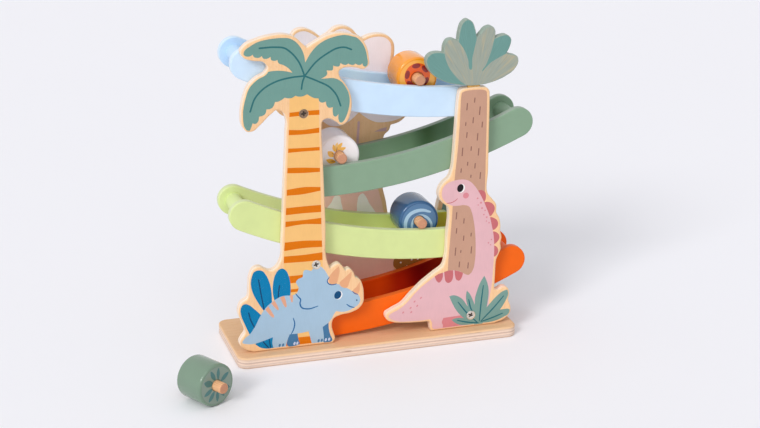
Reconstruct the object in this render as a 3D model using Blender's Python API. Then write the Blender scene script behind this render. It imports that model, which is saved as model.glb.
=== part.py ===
"""Wooden ramp racer: four curved ramps zig-zag down between painted plywood boards.

Rollers with a round peg through them roll down on the pegs, between the two rails of
each ramp, and drop from ramp to ramp.

Lengths are written in millimetres and become metres when a mesh is made. X runs along
the base, Y goes from the front to the back, Z is up, and the table is at Z = 0.
"""
import math

import bmesh
import bpy
from mathutils import Matrix, Vector

MM = 0.001

# Gaps
GLUE_GAP = 0.3
SCREW_CLEARANCE = 0.3
PEG_CLEARANCE = 0.3
PEG_END_PLAY = 2.5
ROLLER_SIDE_PLAY = 4.5

# Base board
BASE_LENGTH = 280.0
BASE_DEPTH = 102.0
BASE_THICKNESS = 11.0
BASE_CORNER = 10.0
BASE_ROUNDING = 1.4

# Upright boards and the clear space between the front pair and the back pair
BOARD_THICKNESS = 10.0
BOARD_SPACING = 58.0
BOARD_ROUNDING = 1.4

# Rails
RAIL_THICKNESS = 8.0
RAIL_HEIGHT = 29.2
RAIL_RADIUS = 474.4
RAIL_LOW_CORNER = 5.0
RAIL_ROUNDING = 1.2

# Dowel between the upper ends of each pair of rails
DOWEL_DIAMETER = 16.0
DOWEL_SOCKET_DEPTH = 3.0

# Rollers and the pegs they roll on
ROLLER_DIAMETER = 40.0
ROLLER_ROUNDING = 1.3
PEG_DIAMETER = 10.0
PEG_ROUNDING = 1.0

# Spacer dowels and screws
SPACER_DIAMETER = 14.0
SPACER_ROUNDING = 0.8
SCREW_DIAMETER = 4.0
SCREW_HEAD = 8.5
SCREW_HEAD_DEPTH = 2.4
SCREW_SINK = 0.2
SCREW_RECESS = 3.4
SCREW_RECESS_DEPTH = 1.5
SCREW_POINT = 4.0
SPACER_SCREW_LENGTH = 30.0
BASE_SCREW_LENGTH = 32.0
PILOT_DEPTH = 1.5

# Leaf fan on its flat tenon
FAN_THICKNESS = 8.0
FAN_GAP = 2.2
TENON_X = 95.0
TENON_WIDTH = 12.0
TENON_THICKNESS = 4.0
TENON_DEPTH = 10.0

# Loose roller on the table, with its axis turned from -Y towards +X
LOOSE_X = -184.2
LOOSE_Y = -107.8
LOOSE_TURN = 28.6

# Largest turn between two neighbouring points of a sawn outline, and how far a bend may
# carry on into a long span, in lengths of the short span before it
OUTLINE_TURN = 28.0
OUTLINE_REACH = 2.5

# Each ramp: x of its lowest point, height of the rails' underside there above the base,
# side of the upper end, how far round the arc the upper end lies, and the arc the rails span
RAMPS = {
    "sky": {"low_x": 91.0, "low_z": 212.5, "side": -1, "upper": 26.57, "span": 27.37},
    "sage": {"low_x": -50.2, "low_z": 144.8, "side": 1, "upper": 24.21, "span": 26.25},
    "lime": {"low_x": 80.0, "low_z": 71.5, "side": -1, "upper": 25.75, "span": 27.25},
    "orange": {"low_x": -59.0, "low_z": 2.5, "side": 1, "upper": 24.83, "span": 27.4},
}

# Each roller that stands on a ramp, and how far up the ramp from the lowest point
ROLLERS = {
    "amber": {"ramp": "sky", "up": 45.6},
    "white": {"ramp": "sage", "up": 19.0},
    "navy": {"ramp": "lime", "up": 31.7},
}

# Spacers: x, the ramp they sit under, and the free height below its rails
SPACERS = {
    "upper": {"x": -71.0, "under": "sky", "drop": 3.0},
    "middle": {"x": -61.0, "under": "lime", "drop": 3.3},
    "lower": {"x": 95.0, "under": "orange", "drop": 8.3},
}

# Screws up through the base, two to each board
BASE_SCREWS = {
    "palm": (-112.0, -60.0),
    "trunk": (70.0, 118.0),
    "volcano": (-70.0, 50.0),
    "shrub": (90.0, 122.0),
}

# Sawn outlines as (x, height above the base). A third value of 1 marks a sharp corner.

# Palm tree over a three-horned dinosaur
PALM_OUTLINE = [
    (-67, 291, 1), (-58, 296), (-47, 301), (-36, 302.5), (-25, 300.5), (-16, 296.5),
    (-11, 289), (-8.7, 279), (-9, 270.5), (-12.5, 267.7), (-22, 269.5), (-32, 270),
    (-37, 267), (-36.5, 262.5), (-31, 254.5), (-26.5, 245.5), (-25, 236), (-26.5, 226),
    (-30.5, 218), (-35, 216), (-41, 220), (-48, 223.3), (-53, 221.5), (-54, 215),
    (-53, 179), (-51.3, 119), (-50.6, 86), (-47.5, 76.2, 1), (-43, 78.8), (-38.5, 80),
    (-35, 77), (-32.5, 72.3, 1), (-28.5, 73.7), (-25, 71), (-22.5, 64.5, 1), (-18, 61.8),
    (-15.5, 56), (-14.2, 46), (-15, 37.5), (-19, 32.5), (-27, 29), (-38, 27.5),
    (-44.5, 24.5), (-46.2, 18), (-44.5, 10), (-43, 4.5), (-45, 0, 1), (-123, 0, 1),
    (-130, 3), (-136.5, 10.5), (-134, 15.8), (-131, 20), (-133, 29), (-136.8, 43),
    (-133.5, 51), (-128, 54.5), (-126.3, 64), (-125, 76), (-121, 83.5), (-115.5, 85),
    (-110, 82), (-105, 79.8), (-99.5, 82), (-95.3, 88.5), (-93.5, 108), (-90.5, 161),
    (-87.5, 213), (-87.2, 225), (-90.5, 232.7), (-95.5, 235.3), (-101, 232), (-112, 222),
    (-119, 216.8), (-124.5, 217), (-128.4, 222.5), (-129.2, 232), (-126.5, 248),
    (-122, 259), (-114, 266.3), (-105.5, 271), (-103.6, 275), (-107, 280), (-118, 282.5),
    (-126, 286), (-128.3, 291), (-124.5, 296.5), (-113, 301.5), (-100, 304.3),
    (-87, 304.5), (-79, 302), (-72, 296),
]

# Tree trunk behind a long-necked dinosaur
TRUNK_OUTLINE = [
    (79.8, 234.1), (81, 239.1), (84.8, 241.2), (88.5, 241.4), (103, 241.4), (107.3, 240.7),
    (109.8, 237.7), (110.3, 233.1),
    (110.3, 159), (110.6, 135.5), (115.5, 129.3), (119, 124.5), (119.5, 115.8, 1),
    (122.8, 109.5), (124.3, 101.5), (124, 96, 1), (125.6, 90.5), (124.4, 83.5, 1),
    (125.2, 78.5), (123, 72.5), (121, 68), (119.8, 51), (119.2, 36.5, 1), (123, 35),
    (128, 37.3), (132.5, 36.8), (135, 32), (134.4, 23), (136.8, 16), (136.5, 9.5),
    (131, 3.8), (120, 0, 1), (54, 0, 1), (52, 10.2, 1), (26, 11.8), (15, 13.8),
    (8.4, 18), (8.2, 22), (14, 26), (24.5, 31), (33.5, 40), (45, 50.5), (58, 60),
    (66.3, 66), (68.6, 74), (70, 97), (71.6, 119), (70.5, 125.3), (64.5, 130.8),
    (61, 137), (61.3, 143.5), (65.5, 150.2), (71.5, 155.5), (73.8, 162), (77, 197),
]

# Cloud over a volcano
VOLCANO_OUTLINE = [
    (-66, 285.4), (-60, 291.7), (-52, 293.3), (-44, 290.3), (-34.5, 283.2, 1), (-28, 286.9),
    (-21, 292.2), (-14, 293.2), (-6, 290.6), (1, 283.3), (6, 279.9, 1), (13, 282.4),
    (22, 283.2), (31, 280.7), (36.3, 274.6), (37.5, 265), (36, 256, 1), (48, 250), (55, 237),
    (56, 219), (51, 201.5), (43.5, 194.8), (34, 192, 1), (32.3, 187), (27.5, 182.5),
    (26, 178), (25, 154), (25.6, 130), (29, 115), (31.3, 101), (36, 84), (46, 69),
    (60, 59.5), (72, 55), (77.5, 47), (78.5, 30), (78.5, 0, 1), (-92, 0, 1), (-90, 20),
    (-79, 52), (-70, 82), (-67, 114), (-64, 154), (-62, 180), (-63, 194), (-67, 205),
    (-78, 213), (-85, 227), (-84, 241), (-80, 250, 1), (-84, 261), (-82, 273), (-75, 282),
]

# Round-topped shrub
SHRUB_OUTLINE = [
    (82, 0, 1), (82, 45), (82.3, 85), (82.8, 99), (84.3, 108), (88, 117.5), (95, 125),
    (104, 128.5), (113, 127), (121, 120), (126, 109), (128, 95), (127, 80), (130, 62),
    (130.5, 40), (130, 0, 1),
]

# Fan of six leaves, with heights above its own lower edge
FAN_OUTLINE = [
    (93, 0), (78, 1.9), (65, 5.8), (54.5, 12.5), (48.3, 20.7), (47.5, 29.2), (52, 33.5),
    (58.5, 34.4), (64, 33.5, 1), (64.7, 40.2), (68.2, 45.5), (73, 46.2), (78, 43.9, 1),
    (79.3, 52.7), (82.3, 60.5), (87.3, 63.5), (91.5, 61.2), (94.5, 54.7), (96.6, 45.7, 1),
    (100.5, 49.7), (106, 54.9), (111.5, 55.4), (114.5, 51.7), (114.4, 44, 1), (120, 46),
    (126.5, 46.4), (130.5, 42.7), (129.7, 35.2), (126.3, 28.6, 1), (132, 27.2),
    (137.3, 25), (138.6, 20.2), (134.8, 12.7), (126, 6.7), (113, 2), (102, 0.1),
]

# Colours as 8-bit sRGB
COLOURS = {
    "base": (237, 198, 150),
    "palm": (120, 160, 150),
    "trunk": (226, 178, 184),
    "volcano": (226, 196, 176),
    "shrub": (118, 160, 152),
    "fan": (130, 163, 154),
    "tenon": (224, 185, 138),
    "sky": (207, 229, 250),
    "sage": (141, 170, 148),
    "lime": (216, 229, 158),
    "orange": (246, 105, 38),
    "spacer": (232, 196, 150),
    "screw": (178, 176, 172),
    "amber": (244, 160, 92),
    "white": (240, 234, 224),
    "navy": (62, 112, 168),
    "moss": (176, 205, 140),
    "peg": (230, 190, 142),
}

# Heights and depths that follow from the sizes above
BOARD_FOOT = BASE_THICKNESS + GLUE_GAP
BOARD_Y = BOARD_SPACING / 2 + BOARD_THICKNESS / 2
RAIL_Y = BOARD_SPACING / 2 - GLUE_GAP - RAIL_THICKNESS / 2
RAIL_CLEAR = BOARD_SPACING - 2 * (GLUE_GAP + RAIL_THICKNESS)
RAIL_TOP = RAIL_RADIUS - RAIL_HEIGHT / 2
RAIL_UNDERSIDE = RAIL_RADIUS + RAIL_HEIGHT / 2
PEG_LENGTH = BOARD_SPACING - 2 * PEG_END_PLAY
PEG_PATH = RAIL_TOP - PEG_DIAMETER / 2 - PEG_CLEARANCE
ROLLER_LENGTH = RAIL_CLEAR - 2 * ROLLER_SIDE_PLAY
ROLLER_BORE = PEG_DIAMETER / 2 + PEG_CLEARANCE
SPACER_LENGTH = BOARD_SPACING - 2 * GLUE_GAP
SCREW_HOLE = SCREW_DIAMETER / 2 + SCREW_CLEARANCE

# Turns that lay an axis made along Z onto Y, pointing to the back or to the front
TO_BACK = Matrix.Rotation(math.radians(-90), 4, "X")
TO_FRONT = Matrix.Rotation(math.radians(90), 4, "X")
TO_TABLE = Matrix.Rotation(math.radians(180), 4, "X")


def clear_scene():
    """Remove every object of the scene."""
    for thing in list(bpy.data.objects):
        bpy.data.objects.remove(thing, do_unlink=True)


def material(name, roughness=0.55, metallic=0.0):
    """Return the finish of that name, made on first use."""
    finish = bpy.data.materials.get(name)
    if finish:
        return finish
    finish = bpy.data.materials.new(name)
    finish.use_nodes = True
    shader = finish.node_tree.nodes["Principled BSDF"]
    linear = []
    for value in COLOURS[name]:
        linear.append((value / 255 / 12.92) if value < 11 else ((value / 255 + 0.055) / 1.055) ** 2.4)
    shader.inputs["Base Color"].default_value = (*linear, 1.0)
    shader.inputs["Roughness"].default_value = roughness
    shader.inputs["Metallic"].default_value = metallic
    return finish


def empty(name, place):
    """Add an empty at a place in millimetres."""
    marker = bpy.data.objects.new(name, None)
    marker.location = Vector(place) * MM
    bpy.context.collection.objects.link(marker)
    return marker


def piece(name, shape, finish, place=(0, 0, 0), parent=None, smooth=30.0):
    """Turn a bmesh in millimetres into a named object at a place in millimetres."""
    bmesh.ops.remove_doubles(shape, verts=shape.verts, dist=0.0005)
    bmesh.ops.recalc_face_normals(shape, faces=shape.faces)
    bmesh.ops.scale(shape, vec=(MM, MM, MM), verts=shape.verts)
    mesh = bpy.data.meshes.new(name)
    shape.to_mesh(mesh)
    shape.free()
    mesh.shade_smooth()
    mesh.set_sharp_from_angle(angle=math.radians(smooth))
    thing = bpy.data.objects.new(name, mesh)
    thing.location = Vector(place) * MM
    thing.parent = parent
    if finish:
        mesh.materials.append(finish)
    bpy.context.collection.objects.link(thing)
    return thing


def cutter(name, shape):
    """Make a hidden cutter from a bmesh in millimetres."""
    thing = piece(name, shape, None)
    thing.hide_render = True
    thing.display_type = "WIRE"
    return thing


def cut(target, tool):
    """Take the cutter's shape out of a piece."""
    change = target.modifiers.new("cut_" + tool.name, "BOOLEAN")
    change.operation = "DIFFERENCE"
    change.solver = "EXACT"
    change.object = tool


def smooth_outline(marks):
    """Run a smooth closed curve through outline marks, with sharp corners where they say so."""
    count = len(marks)
    spots = [Vector(mark[:2]) for mark in marks]
    steps = [spots[(i + 1) % count] - spots[i] for i in range(count)]
    leave = []
    arrive = []
    for i in range(count):
        before = steps[i - 1]
        after = steps[i]
        if len(marks[i]) == 3:
            arrive.append(before.normalized())
            leave.append(after.normalized())
            continue
        mean = before.normalized() * after.length + after.normalized() * before.length
        arrive.append(mean.normalized())
        leave.append(mean.normalized())
    points = []
    for i in range(count):
        end = (i + 1) % count
        span = steps[i].length
        out = min(span, OUTLINE_REACH * steps[i - 1].length)
        home = min(span, OUTLINE_REACH * steps[end].length)
        turn = leave[i].angle(steps[i]) + steps[i].angle(arrive[end])
        parts = 1 + int(math.degrees(turn) / OUTLINE_TURN)
        for k in range(parts):
            t = k / parts
            point = spots[i] * (2 * t ** 3 - 3 * t ** 2 + 1)
            point += leave[i] * out * (t ** 3 - 2 * t ** 2 + t)
            point += spots[end] * (3 * t ** 2 - 2 * t ** 3)
            point += arrive[end] * home * (t ** 3 - t ** 2)
            points.append(point)
    return points


def sawn(points, thickness, rounding):
    """Saw an (x, z) outline from a sheet centred on Y = 0, with its front and back edges eased."""
    shape = bmesh.new()
    corners = [shape.verts.new((p[0], -thickness / 2, p[1])) for p in points]
    face = shape.faces.new(corners)
    raised = bmesh.ops.extrude_face_region(shape, geom=[face], use_keep_orig=True)
    moved = [item for item in raised["geom"] if isinstance(item, bmesh.types.BMVert)]
    bmesh.ops.translate(shape, vec=(0, thickness, 0), verts=moved)
    bmesh.ops.recalc_face_normals(shape, faces=shape.faces)
    rims = []
    for edge in shape.edges:
        if abs(edge.verts[0].co.y - edge.verts[1].co.y) < 0.001:
            rims.append(edge)
    bmesh.ops.bevel(shape, geom=rims, offset=rounding, offset_type="OFFSET", segments=1,
                    profile=0.5, affect="EDGES", clamp_overlap=True)
    return shape


def turned(shape, profile, segments, place=(0, 0, 0), turn=Matrix()):
    """Spin an (r, height) profile about Z, then turn it and move it into the bmesh."""
    spots = [shape.verts.new((r, 0, h)) for r, h in profile]
    edges = [shape.edges.new((spots[i], spots[i + 1])) for i in range(len(spots) - 1)]
    if profile[0][0] > 0:
        edges.append(shape.edges.new((spots[-1], spots[0])))
    old = set(shape.verts) - set(spots)
    bmesh.ops.spin(shape, geom=spots + edges, cent=(0, 0, 0), axis=(0, 0, 1),
                   angle=math.radians(360), steps=segments, use_merge=True)
    made = [vert for vert in shape.verts if vert not in old]
    bmesh.ops.transform(shape, matrix=Matrix.Translation(place) @ turn, verts=made)
    return shape


def rod_profile(diameter, length, rounding):
    """Profile of a plain rod with eased ends, centred on its length."""
    radius = diameter / 2
    half = length / 2
    return [(0, -half), (radius - rounding, -half), (radius, -half + rounding),
            (radius, half - rounding), (radius - rounding, half), (0, half)]


def roller_profile():
    """Profile of a bored roller with rounded edges."""
    radius = ROLLER_DIAMETER / 2
    half = ROLLER_LENGTH / 2
    ease = ROLLER_ROUNDING
    soft = ease * (1 - math.sqrt(0.5))
    return [(ROLLER_BORE, -half), (radius - ease, -half), (radius - soft, -half + soft),
            (radius, -half + ease), (radius, half - ease), (radius - soft, half - soft),
            (radius - ease, half), (ROLLER_BORE, half)]


def screw_profile(length):
    """Profile of a countersunk screw that points down from the face at height 0."""
    top = -SCREW_SINK
    neck = top - SCREW_HEAD_DEPTH
    return [(0, top - SCREW_RECESS_DEPTH), (SCREW_RECESS / 2, top), (SCREW_HEAD / 2, top),
            (SCREW_DIAMETER / 2, neck), (SCREW_DIAMETER / 2, SCREW_POINT - length), (0, -length)]


def screw_hole_profile(length):
    """Profile of the countersunk pilot hole for that screw."""
    neck = -SCREW_SINK - SCREW_HEAD_DEPTH
    rim = SCREW_HEAD / 2 + SCREW_CLEARANCE
    return [(0, 1), (rim, 1), (rim, -SCREW_SINK), (SCREW_HOLE, neck),
            (SCREW_HOLE, -length - PILOT_DEPTH), (0, -length - PILOT_DEPTH)]


def spacer_profile():
    """Profile of a spacer with a pilot hole in each end."""
    half = SPACER_LENGTH / 2
    radius = SPACER_DIAMETER / 2
    depth = SPACER_SCREW_LENGTH - BOARD_THICKNESS - GLUE_GAP + PILOT_DEPTH
    return [(0, depth - half), (SCREW_HOLE, depth - half), (SCREW_HOLE, -half),
            (radius - SPACER_ROUNDING, -half), (radius, SPACER_ROUNDING - half),
            (radius, half - SPACER_ROUNDING), (radius - SPACER_ROUNDING, half),
            (SCREW_HOLE, half), (SCREW_HOLE, half - depth), (0, half - depth)]


def arc_point(ramp, radius, angle):
    """Point on a ramp's arc, as (x, z) from the arc's centre; the angle rises to the upper end."""
    return Vector((ramp["side"] * radius * math.sin(angle), -radius * math.cos(angle)))


def ramp_centre(ramp):
    """Centre of a ramp's arc in the world, on the middle plane."""
    return (ramp["low_x"], 0, BASE_THICKNESS + ramp["low_z"] + RAIL_UNDERSIDE)


def rail_outline(ramp):
    """Outline of a rail about its arc's centre: round upper end, eased corners at the low end."""
    upper = math.radians(ramp["upper"])
    lower = upper - math.radians(ramp["span"])
    half = RAIL_HEIGHT / 2
    inset = RAIL_LOW_CORNER / RAIL_RADIUS
    steps = 12
    angles = [lower + inset + (upper - lower - inset) * k / steps for k in range(steps + 1)]
    points = [arc_point(ramp, RAIL_UNDERSIDE, angle) for angle in angles]
    out = arc_point(ramp, 1, upper)
    along = arc_point(ramp, 1, upper + math.pi / 2)
    for k in range(1, 8):
        turn = math.pi * k / 8
        end = arc_point(ramp, RAIL_RADIUS, upper)
        points.append(end + half * (math.cos(turn) * out + math.sin(turn) * along))
    points += [arc_point(ramp, RAIL_TOP, angle) for angle in reversed(angles)]
    out = arc_point(ramp, 1, lower)
    along = arc_point(ramp, 1, lower - math.pi / 2)
    for side in (-1, 1):
        middle = arc_point(ramp, RAIL_RADIUS + side * (half - RAIL_LOW_CORNER), lower + inset)
        for k in (1, 2, 3):
            turn = math.pi / 6 * (k if side < 0 else 3 - k)
            rise = side * math.cos(turn)
            points.append(middle + RAIL_LOW_CORNER * (rise * out + math.sin(turn) * along))
    return points[:-1]


def upper_end(ramp):
    """Centre of the rounded upper end, from the arc's centre, as (x, z)."""
    return arc_point(ramp, RAIL_RADIUS, math.radians(ramp["upper"]))


def spacer_height(spacer):
    """Height of a spacer's axis below the rails it sits under."""
    ramp = RAMPS[spacer["under"]]
    centre = ramp_centre(ramp)
    reach = spacer["x"] - centre[0]
    underside = centre[2] - math.sqrt(RAIL_UNDERSIDE ** 2 - reach ** 2)
    return underside - spacer["drop"] - SPACER_DIAMETER / 2


def base_block():
    """Base board with rounded corners and eased edges."""
    corner_x = BASE_LENGTH / 2 - BASE_CORNER
    corner_y = BASE_DEPTH / 2 - BASE_CORNER
    points = []
    for quarter, (x, y) in enumerate(((1, 1), (-1, 1), (-1, -1), (1, -1))):
        for k in range(5):
            turn = math.radians(90 * quarter + 22.5 * k)
            points.append((x * corner_x + BASE_CORNER * math.cos(turn),
                           y * corner_y + BASE_CORNER * math.sin(turn)))
    shape = sawn(points, BASE_THICKNESS, BASE_ROUNDING)
    lay = Matrix.Translation((0, 0, BASE_THICKNESS / 2)) @ TO_FRONT
    bmesh.ops.transform(shape, matrix=lay, verts=shape.verts)
    return shape


def add_boards():
    """Base, upright boards and the leaf fan on its tenon."""
    boards = {"base": piece("base_board", base_block(), material("base"))}
    fronts = {"palm": PALM_OUTLINE, "trunk": TRUNK_OUTLINE}
    backs = {"volcano": VOLCANO_OUTLINE, "shrub": SHRUB_OUTLINE}
    for row, y in ((fronts, -BOARD_Y), (backs, BOARD_Y)):
        for name, outline in row.items():
            shape = sawn(smooth_outline(outline), BOARD_THICKNESS, BOARD_ROUNDING)
            boards[name] = piece(name + "_board", shape, material(name), (0, y, BOARD_FOOT))
    trunk_top = BOARD_FOOT + max(mark[1] for mark in TRUNK_OUTLINE)
    fan_foot = trunk_top + FAN_GAP
    shape = sawn(smooth_outline(FAN_OUTLINE), FAN_THICKNESS, BOARD_ROUNDING)
    fan = piece("leaf_fan", shape, material("fan"), (0, -BOARD_Y, fan_foot))
    place = (TENON_X, -BOARD_Y, trunk_top + FAN_GAP / 2)
    length = FAN_GAP + 2 * TENON_DEPTH
    for name, grow in (("fan_tenon", 0), ("fan_mortise", GLUE_GAP)):
        half = (TENON_WIDTH / 2 + grow, length / 2 + grow)
        points = [(-half[0], -half[1]), (half[0], -half[1]), (half[0], half[1]), (-half[0], half[1])]
        shape = sawn(points, TENON_THICKNESS + 2 * grow, 0.5)
        if not grow:
            piece(name, shape, material("tenon"), place)
            continue
        mortise = cutter(name, shape)
        mortise.location = Vector(place) * MM
        cut(fan, mortise)
        cut(boards["trunk"], mortise)
    return boards


def add_ramps():
    """Two rails and a cross dowel for each ramp, hung on an empty at the arc's centre."""
    centres = {}
    sockets = bmesh.new()
    rails = []
    dowel = RAIL_CLEAR + 2 * (DOWEL_SOCKET_DEPTH - GLUE_GAP)
    socket = RAIL_CLEAR + 2 * DOWEL_SOCKET_DEPTH
    for name, ramp in RAMPS.items():
        centre = ramp_centre(ramp)
        centres[name] = empty(name + "_ramp_centre", centre)
        for side, y in (("front", -RAIL_Y), ("back", RAIL_Y)):
            shape = sawn(rail_outline(ramp), RAIL_THICKNESS, RAIL_ROUNDING)
            label = "rail_" + name + "_" + side
            rails.append(piece(label, shape, material(name), (0, y, 0), centres[name]))
        end = upper_end(ramp)
        shape = turned(bmesh.new(), rod_profile(DOWEL_DIAMETER, dowel, 0.4), 20, turn=TO_BACK)
        piece("cross_dowel_" + name, shape, material(name), (end[0], 0, end[1]), centres[name])
        bore = rod_profile(DOWEL_DIAMETER + 2 * GLUE_GAP, socket, 0.4)
        turned(sockets, bore, 20, (centre[0] + end[0], 0, centre[2] + end[1]), TO_BACK)
    tool = cutter("dowel_sockets", sockets)
    for rail in rails:
        cut(rail, tool)
    return centres


def add_spacers_and_screws(boards):
    """Spacers between front and back boards, and all the countersunk screws."""
    holes = bmesh.new()
    finish = material("screw", 0.3, 1.0)
    face = BOARD_SPACING / 2 + BOARD_THICKNESS
    for name, spacer in SPACERS.items():
        z = spacer_height(spacer)
        shape = turned(bmesh.new(), spacer_profile(), 16, turn=TO_BACK)
        piece("spacer_" + name, shape, material("spacer"), (spacer["x"], 0, z))
        for side, y, turn in (("front", -face, TO_FRONT), ("back", face, TO_BACK)):
            shape = turned(bmesh.new(), screw_profile(SPACER_SCREW_LENGTH), 12, turn=turn)
            piece("spacer_screw_" + name + "_" + side, shape, finish, (spacer["x"], y, z))
            turned(holes, screw_hole_profile(SPACER_SCREW_LENGTH), 12, (spacer["x"], y, z), turn)
    for name, places in BASE_SCREWS.items():
        y = -BOARD_Y if name in ("palm", "trunk") else BOARD_Y
        for side, x in zip(("left", "right"), places):
            shape = turned(bmesh.new(), screw_profile(BASE_SCREW_LENGTH), 12, turn=TO_TABLE)
            piece("base_screw_" + name + "_" + side, shape, finish, (x, y, 0))
            turned(holes, screw_hole_profile(BASE_SCREW_LENGTH), 12, (x, y, 0), TO_TABLE)
    tool = cutter("screw_holes", holes)
    for board in boards.values():
        cut(board, tool)


def add_roller(name, place, parent, turn=Matrix()):
    """A peg at its rest place and the roller that spins about it."""
    lay = turn @ TO_BACK
    shape = turned(bmesh.new(), rod_profile(PEG_DIAMETER, PEG_LENGTH, PEG_ROUNDING), 20, turn=lay)
    peg = piece("peg_" + name, shape, material("peg"), place, parent)
    shape = turned(bmesh.new(), roller_profile(), 32, turn=lay)
    piece("roller_" + name, shape, material(name), (0, 0, 0), peg)


def add_rollers(centres):
    """Three rollers standing on the ramps and one loose on the table."""
    for name, roller in ROLLERS.items():
        ramp = RAMPS[roller["ramp"]]
        x, z = arc_point(ramp, PEG_PATH, roller["up"] / PEG_PATH)
        add_roller(name, (x, 0, z), centres[roller["ramp"]])
    height = ROLLER_DIAMETER / 2 + GLUE_GAP
    turn = Matrix.Rotation(math.radians(LOOSE_TURN), 4, "Z")
    add_roller("moss", (LOOSE_X, LOOSE_Y, height), None, turn)


clear_scene()
all_boards = add_boards()
ramp_centres = add_ramps()
add_spacers_and_screws(all_boards)
add_rollers(ramp_centres)
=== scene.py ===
"""Looks of the wooden ramp racer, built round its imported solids.

Lengths are in millimetres and become metres when a mesh is written. X runs along the base,
Y from the front to the back, Z is up, and the table is at Z = 0.
"""
import math

import bmesh
import bpy
import numpy as np
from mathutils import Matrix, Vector
from mathutils.geometry import delaunay_2d_cdt


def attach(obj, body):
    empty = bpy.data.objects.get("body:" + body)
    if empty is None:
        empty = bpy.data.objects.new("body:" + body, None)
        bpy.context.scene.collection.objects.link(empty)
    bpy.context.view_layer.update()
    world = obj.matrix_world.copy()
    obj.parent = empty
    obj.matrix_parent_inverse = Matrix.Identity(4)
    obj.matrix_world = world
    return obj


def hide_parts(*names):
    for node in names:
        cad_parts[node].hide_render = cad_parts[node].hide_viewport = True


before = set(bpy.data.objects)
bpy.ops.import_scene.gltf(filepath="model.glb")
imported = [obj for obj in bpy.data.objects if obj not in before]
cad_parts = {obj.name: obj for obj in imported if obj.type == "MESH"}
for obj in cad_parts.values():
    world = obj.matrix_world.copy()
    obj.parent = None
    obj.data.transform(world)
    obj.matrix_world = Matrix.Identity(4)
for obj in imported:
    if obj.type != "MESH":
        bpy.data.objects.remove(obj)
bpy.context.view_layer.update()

MM = 0.001

# Sizes and places of the solids
BASE_SIZE = (280.0, 102.0, 11.0)
BASE_CORNER = 10.0
BOARD_FOOT = 11.3
BOARD_THICKNESS = 10.0
FRONT_FACE = -39.0
BACK_FACE = 29.0
FAN_FOOT = 254.9
FAN_FACE = -38.0
FAN_THICKNESS = 8.0
TENON_X = (89.0, 101.0)
TENON_Z = (243.1, 264.8)
TENON_FACE = -36.0
TENON_THICKNESS = 4.0
RAIL_FACES = {"front": -28.7, "back": 20.7}
RAIL_THICKNESS = 8.0
RAIL_RADIUS = 474.4
RAIL_HEIGHT = 29.2
RAIL_CORNER = 5.0
DOWEL_RADIUS = 8.0
DOWEL_LENGTH = 46.8
ROLLER_RADIUS = 20.0
ROLLER_LENGTH = 32.4
ROLLER_BORE = 5.3
PEG_RADIUS = 5.0
PEG_LENGTH = 53.0
SPACER_RADIUS = 7.0
SPACER_LENGTH = 57.4

# Rounding of the rims
BASE_EASE = 1.4
BOARD_EASE = 1.4
FAN_EASE = 0.7
TENON_EASE = 0.5
RAIL_EASE = 1.1
DOWEL_EASE = 0.4
ROLLER_EASE = 2.2
BORE_EASE = 0.5
PEG_EASE = 1.0
SPACER_EASE = 0.8

# Screw hole, and the screw below its head: radius and depth
SCREW_HOLE = ((4.55, 0.0), (4.55, 0.25), (2.3, 2.6), (2.3, 7.5))
SCREW_SHANK = ((4.2, 0.42), (2.0, 2.6), (2.0, 6.0), (1.9, 8.0))
SCREW_HEAD = 4.25
HEAD_FLAT = 4.15
HEAD_SINK = 0.2
SLOT_REACH = 2.3
SLOT_HALF = 0.62
SLOT_MIDDLE = 1.15
SLOT_DEPTH = 1.5

# How far a bend may carry on into a long span, in lengths of the short span before it
BEND_REACH = 2.5

# Each ramp: centre of its arc (x, z), side of the upper end, angle of the upper end, arc of the rails
RAMPS = {
    "sky": ((91.0, 712.5), -1, 26.57, 27.37),
    "sage": ((-50.2, 644.8), 1, 24.21, 26.25),
    "lime": ((80.0, 571.5), -1, 25.75, 27.25),
    "orange": ((-59.0, 502.5), 1, 24.83, 27.4),
}

# Each roller: centre, and the way its axis points to the back (x, y)
ROLLERS = {
    "amber": ((45.476, 0.0, 260.286), (0.0, 1.0)),
    "white": ((-31.206, 0.0, 190.697), (0.0, 1.0)),
    "navy": ((48.326, 0.0, 118.105), (0.0, 1.0)),
    "moss": ((-184.2, -107.8, 20.3), (-0.4787, 0.8780)),
}

# Spacers behind the screws (x, z), and screws up through the base (x, y)
SPACERS = {"upper": (-71.0, 241.1), "middle": (-61.0, 93.0), "lower": (95.0, 23.1)}
BASE_SCREWS = {
    "palm": ((-112.0, -34.0), (-60.0, -34.0)),
    "trunk": ((70.0, -34.0), (118.0, -34.0)),
    "volcano": ((-70.0, 34.0), (50.0, 34.0)),
    "shrub": ((90.0, 34.0), (122.0, 34.0)),
}

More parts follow.
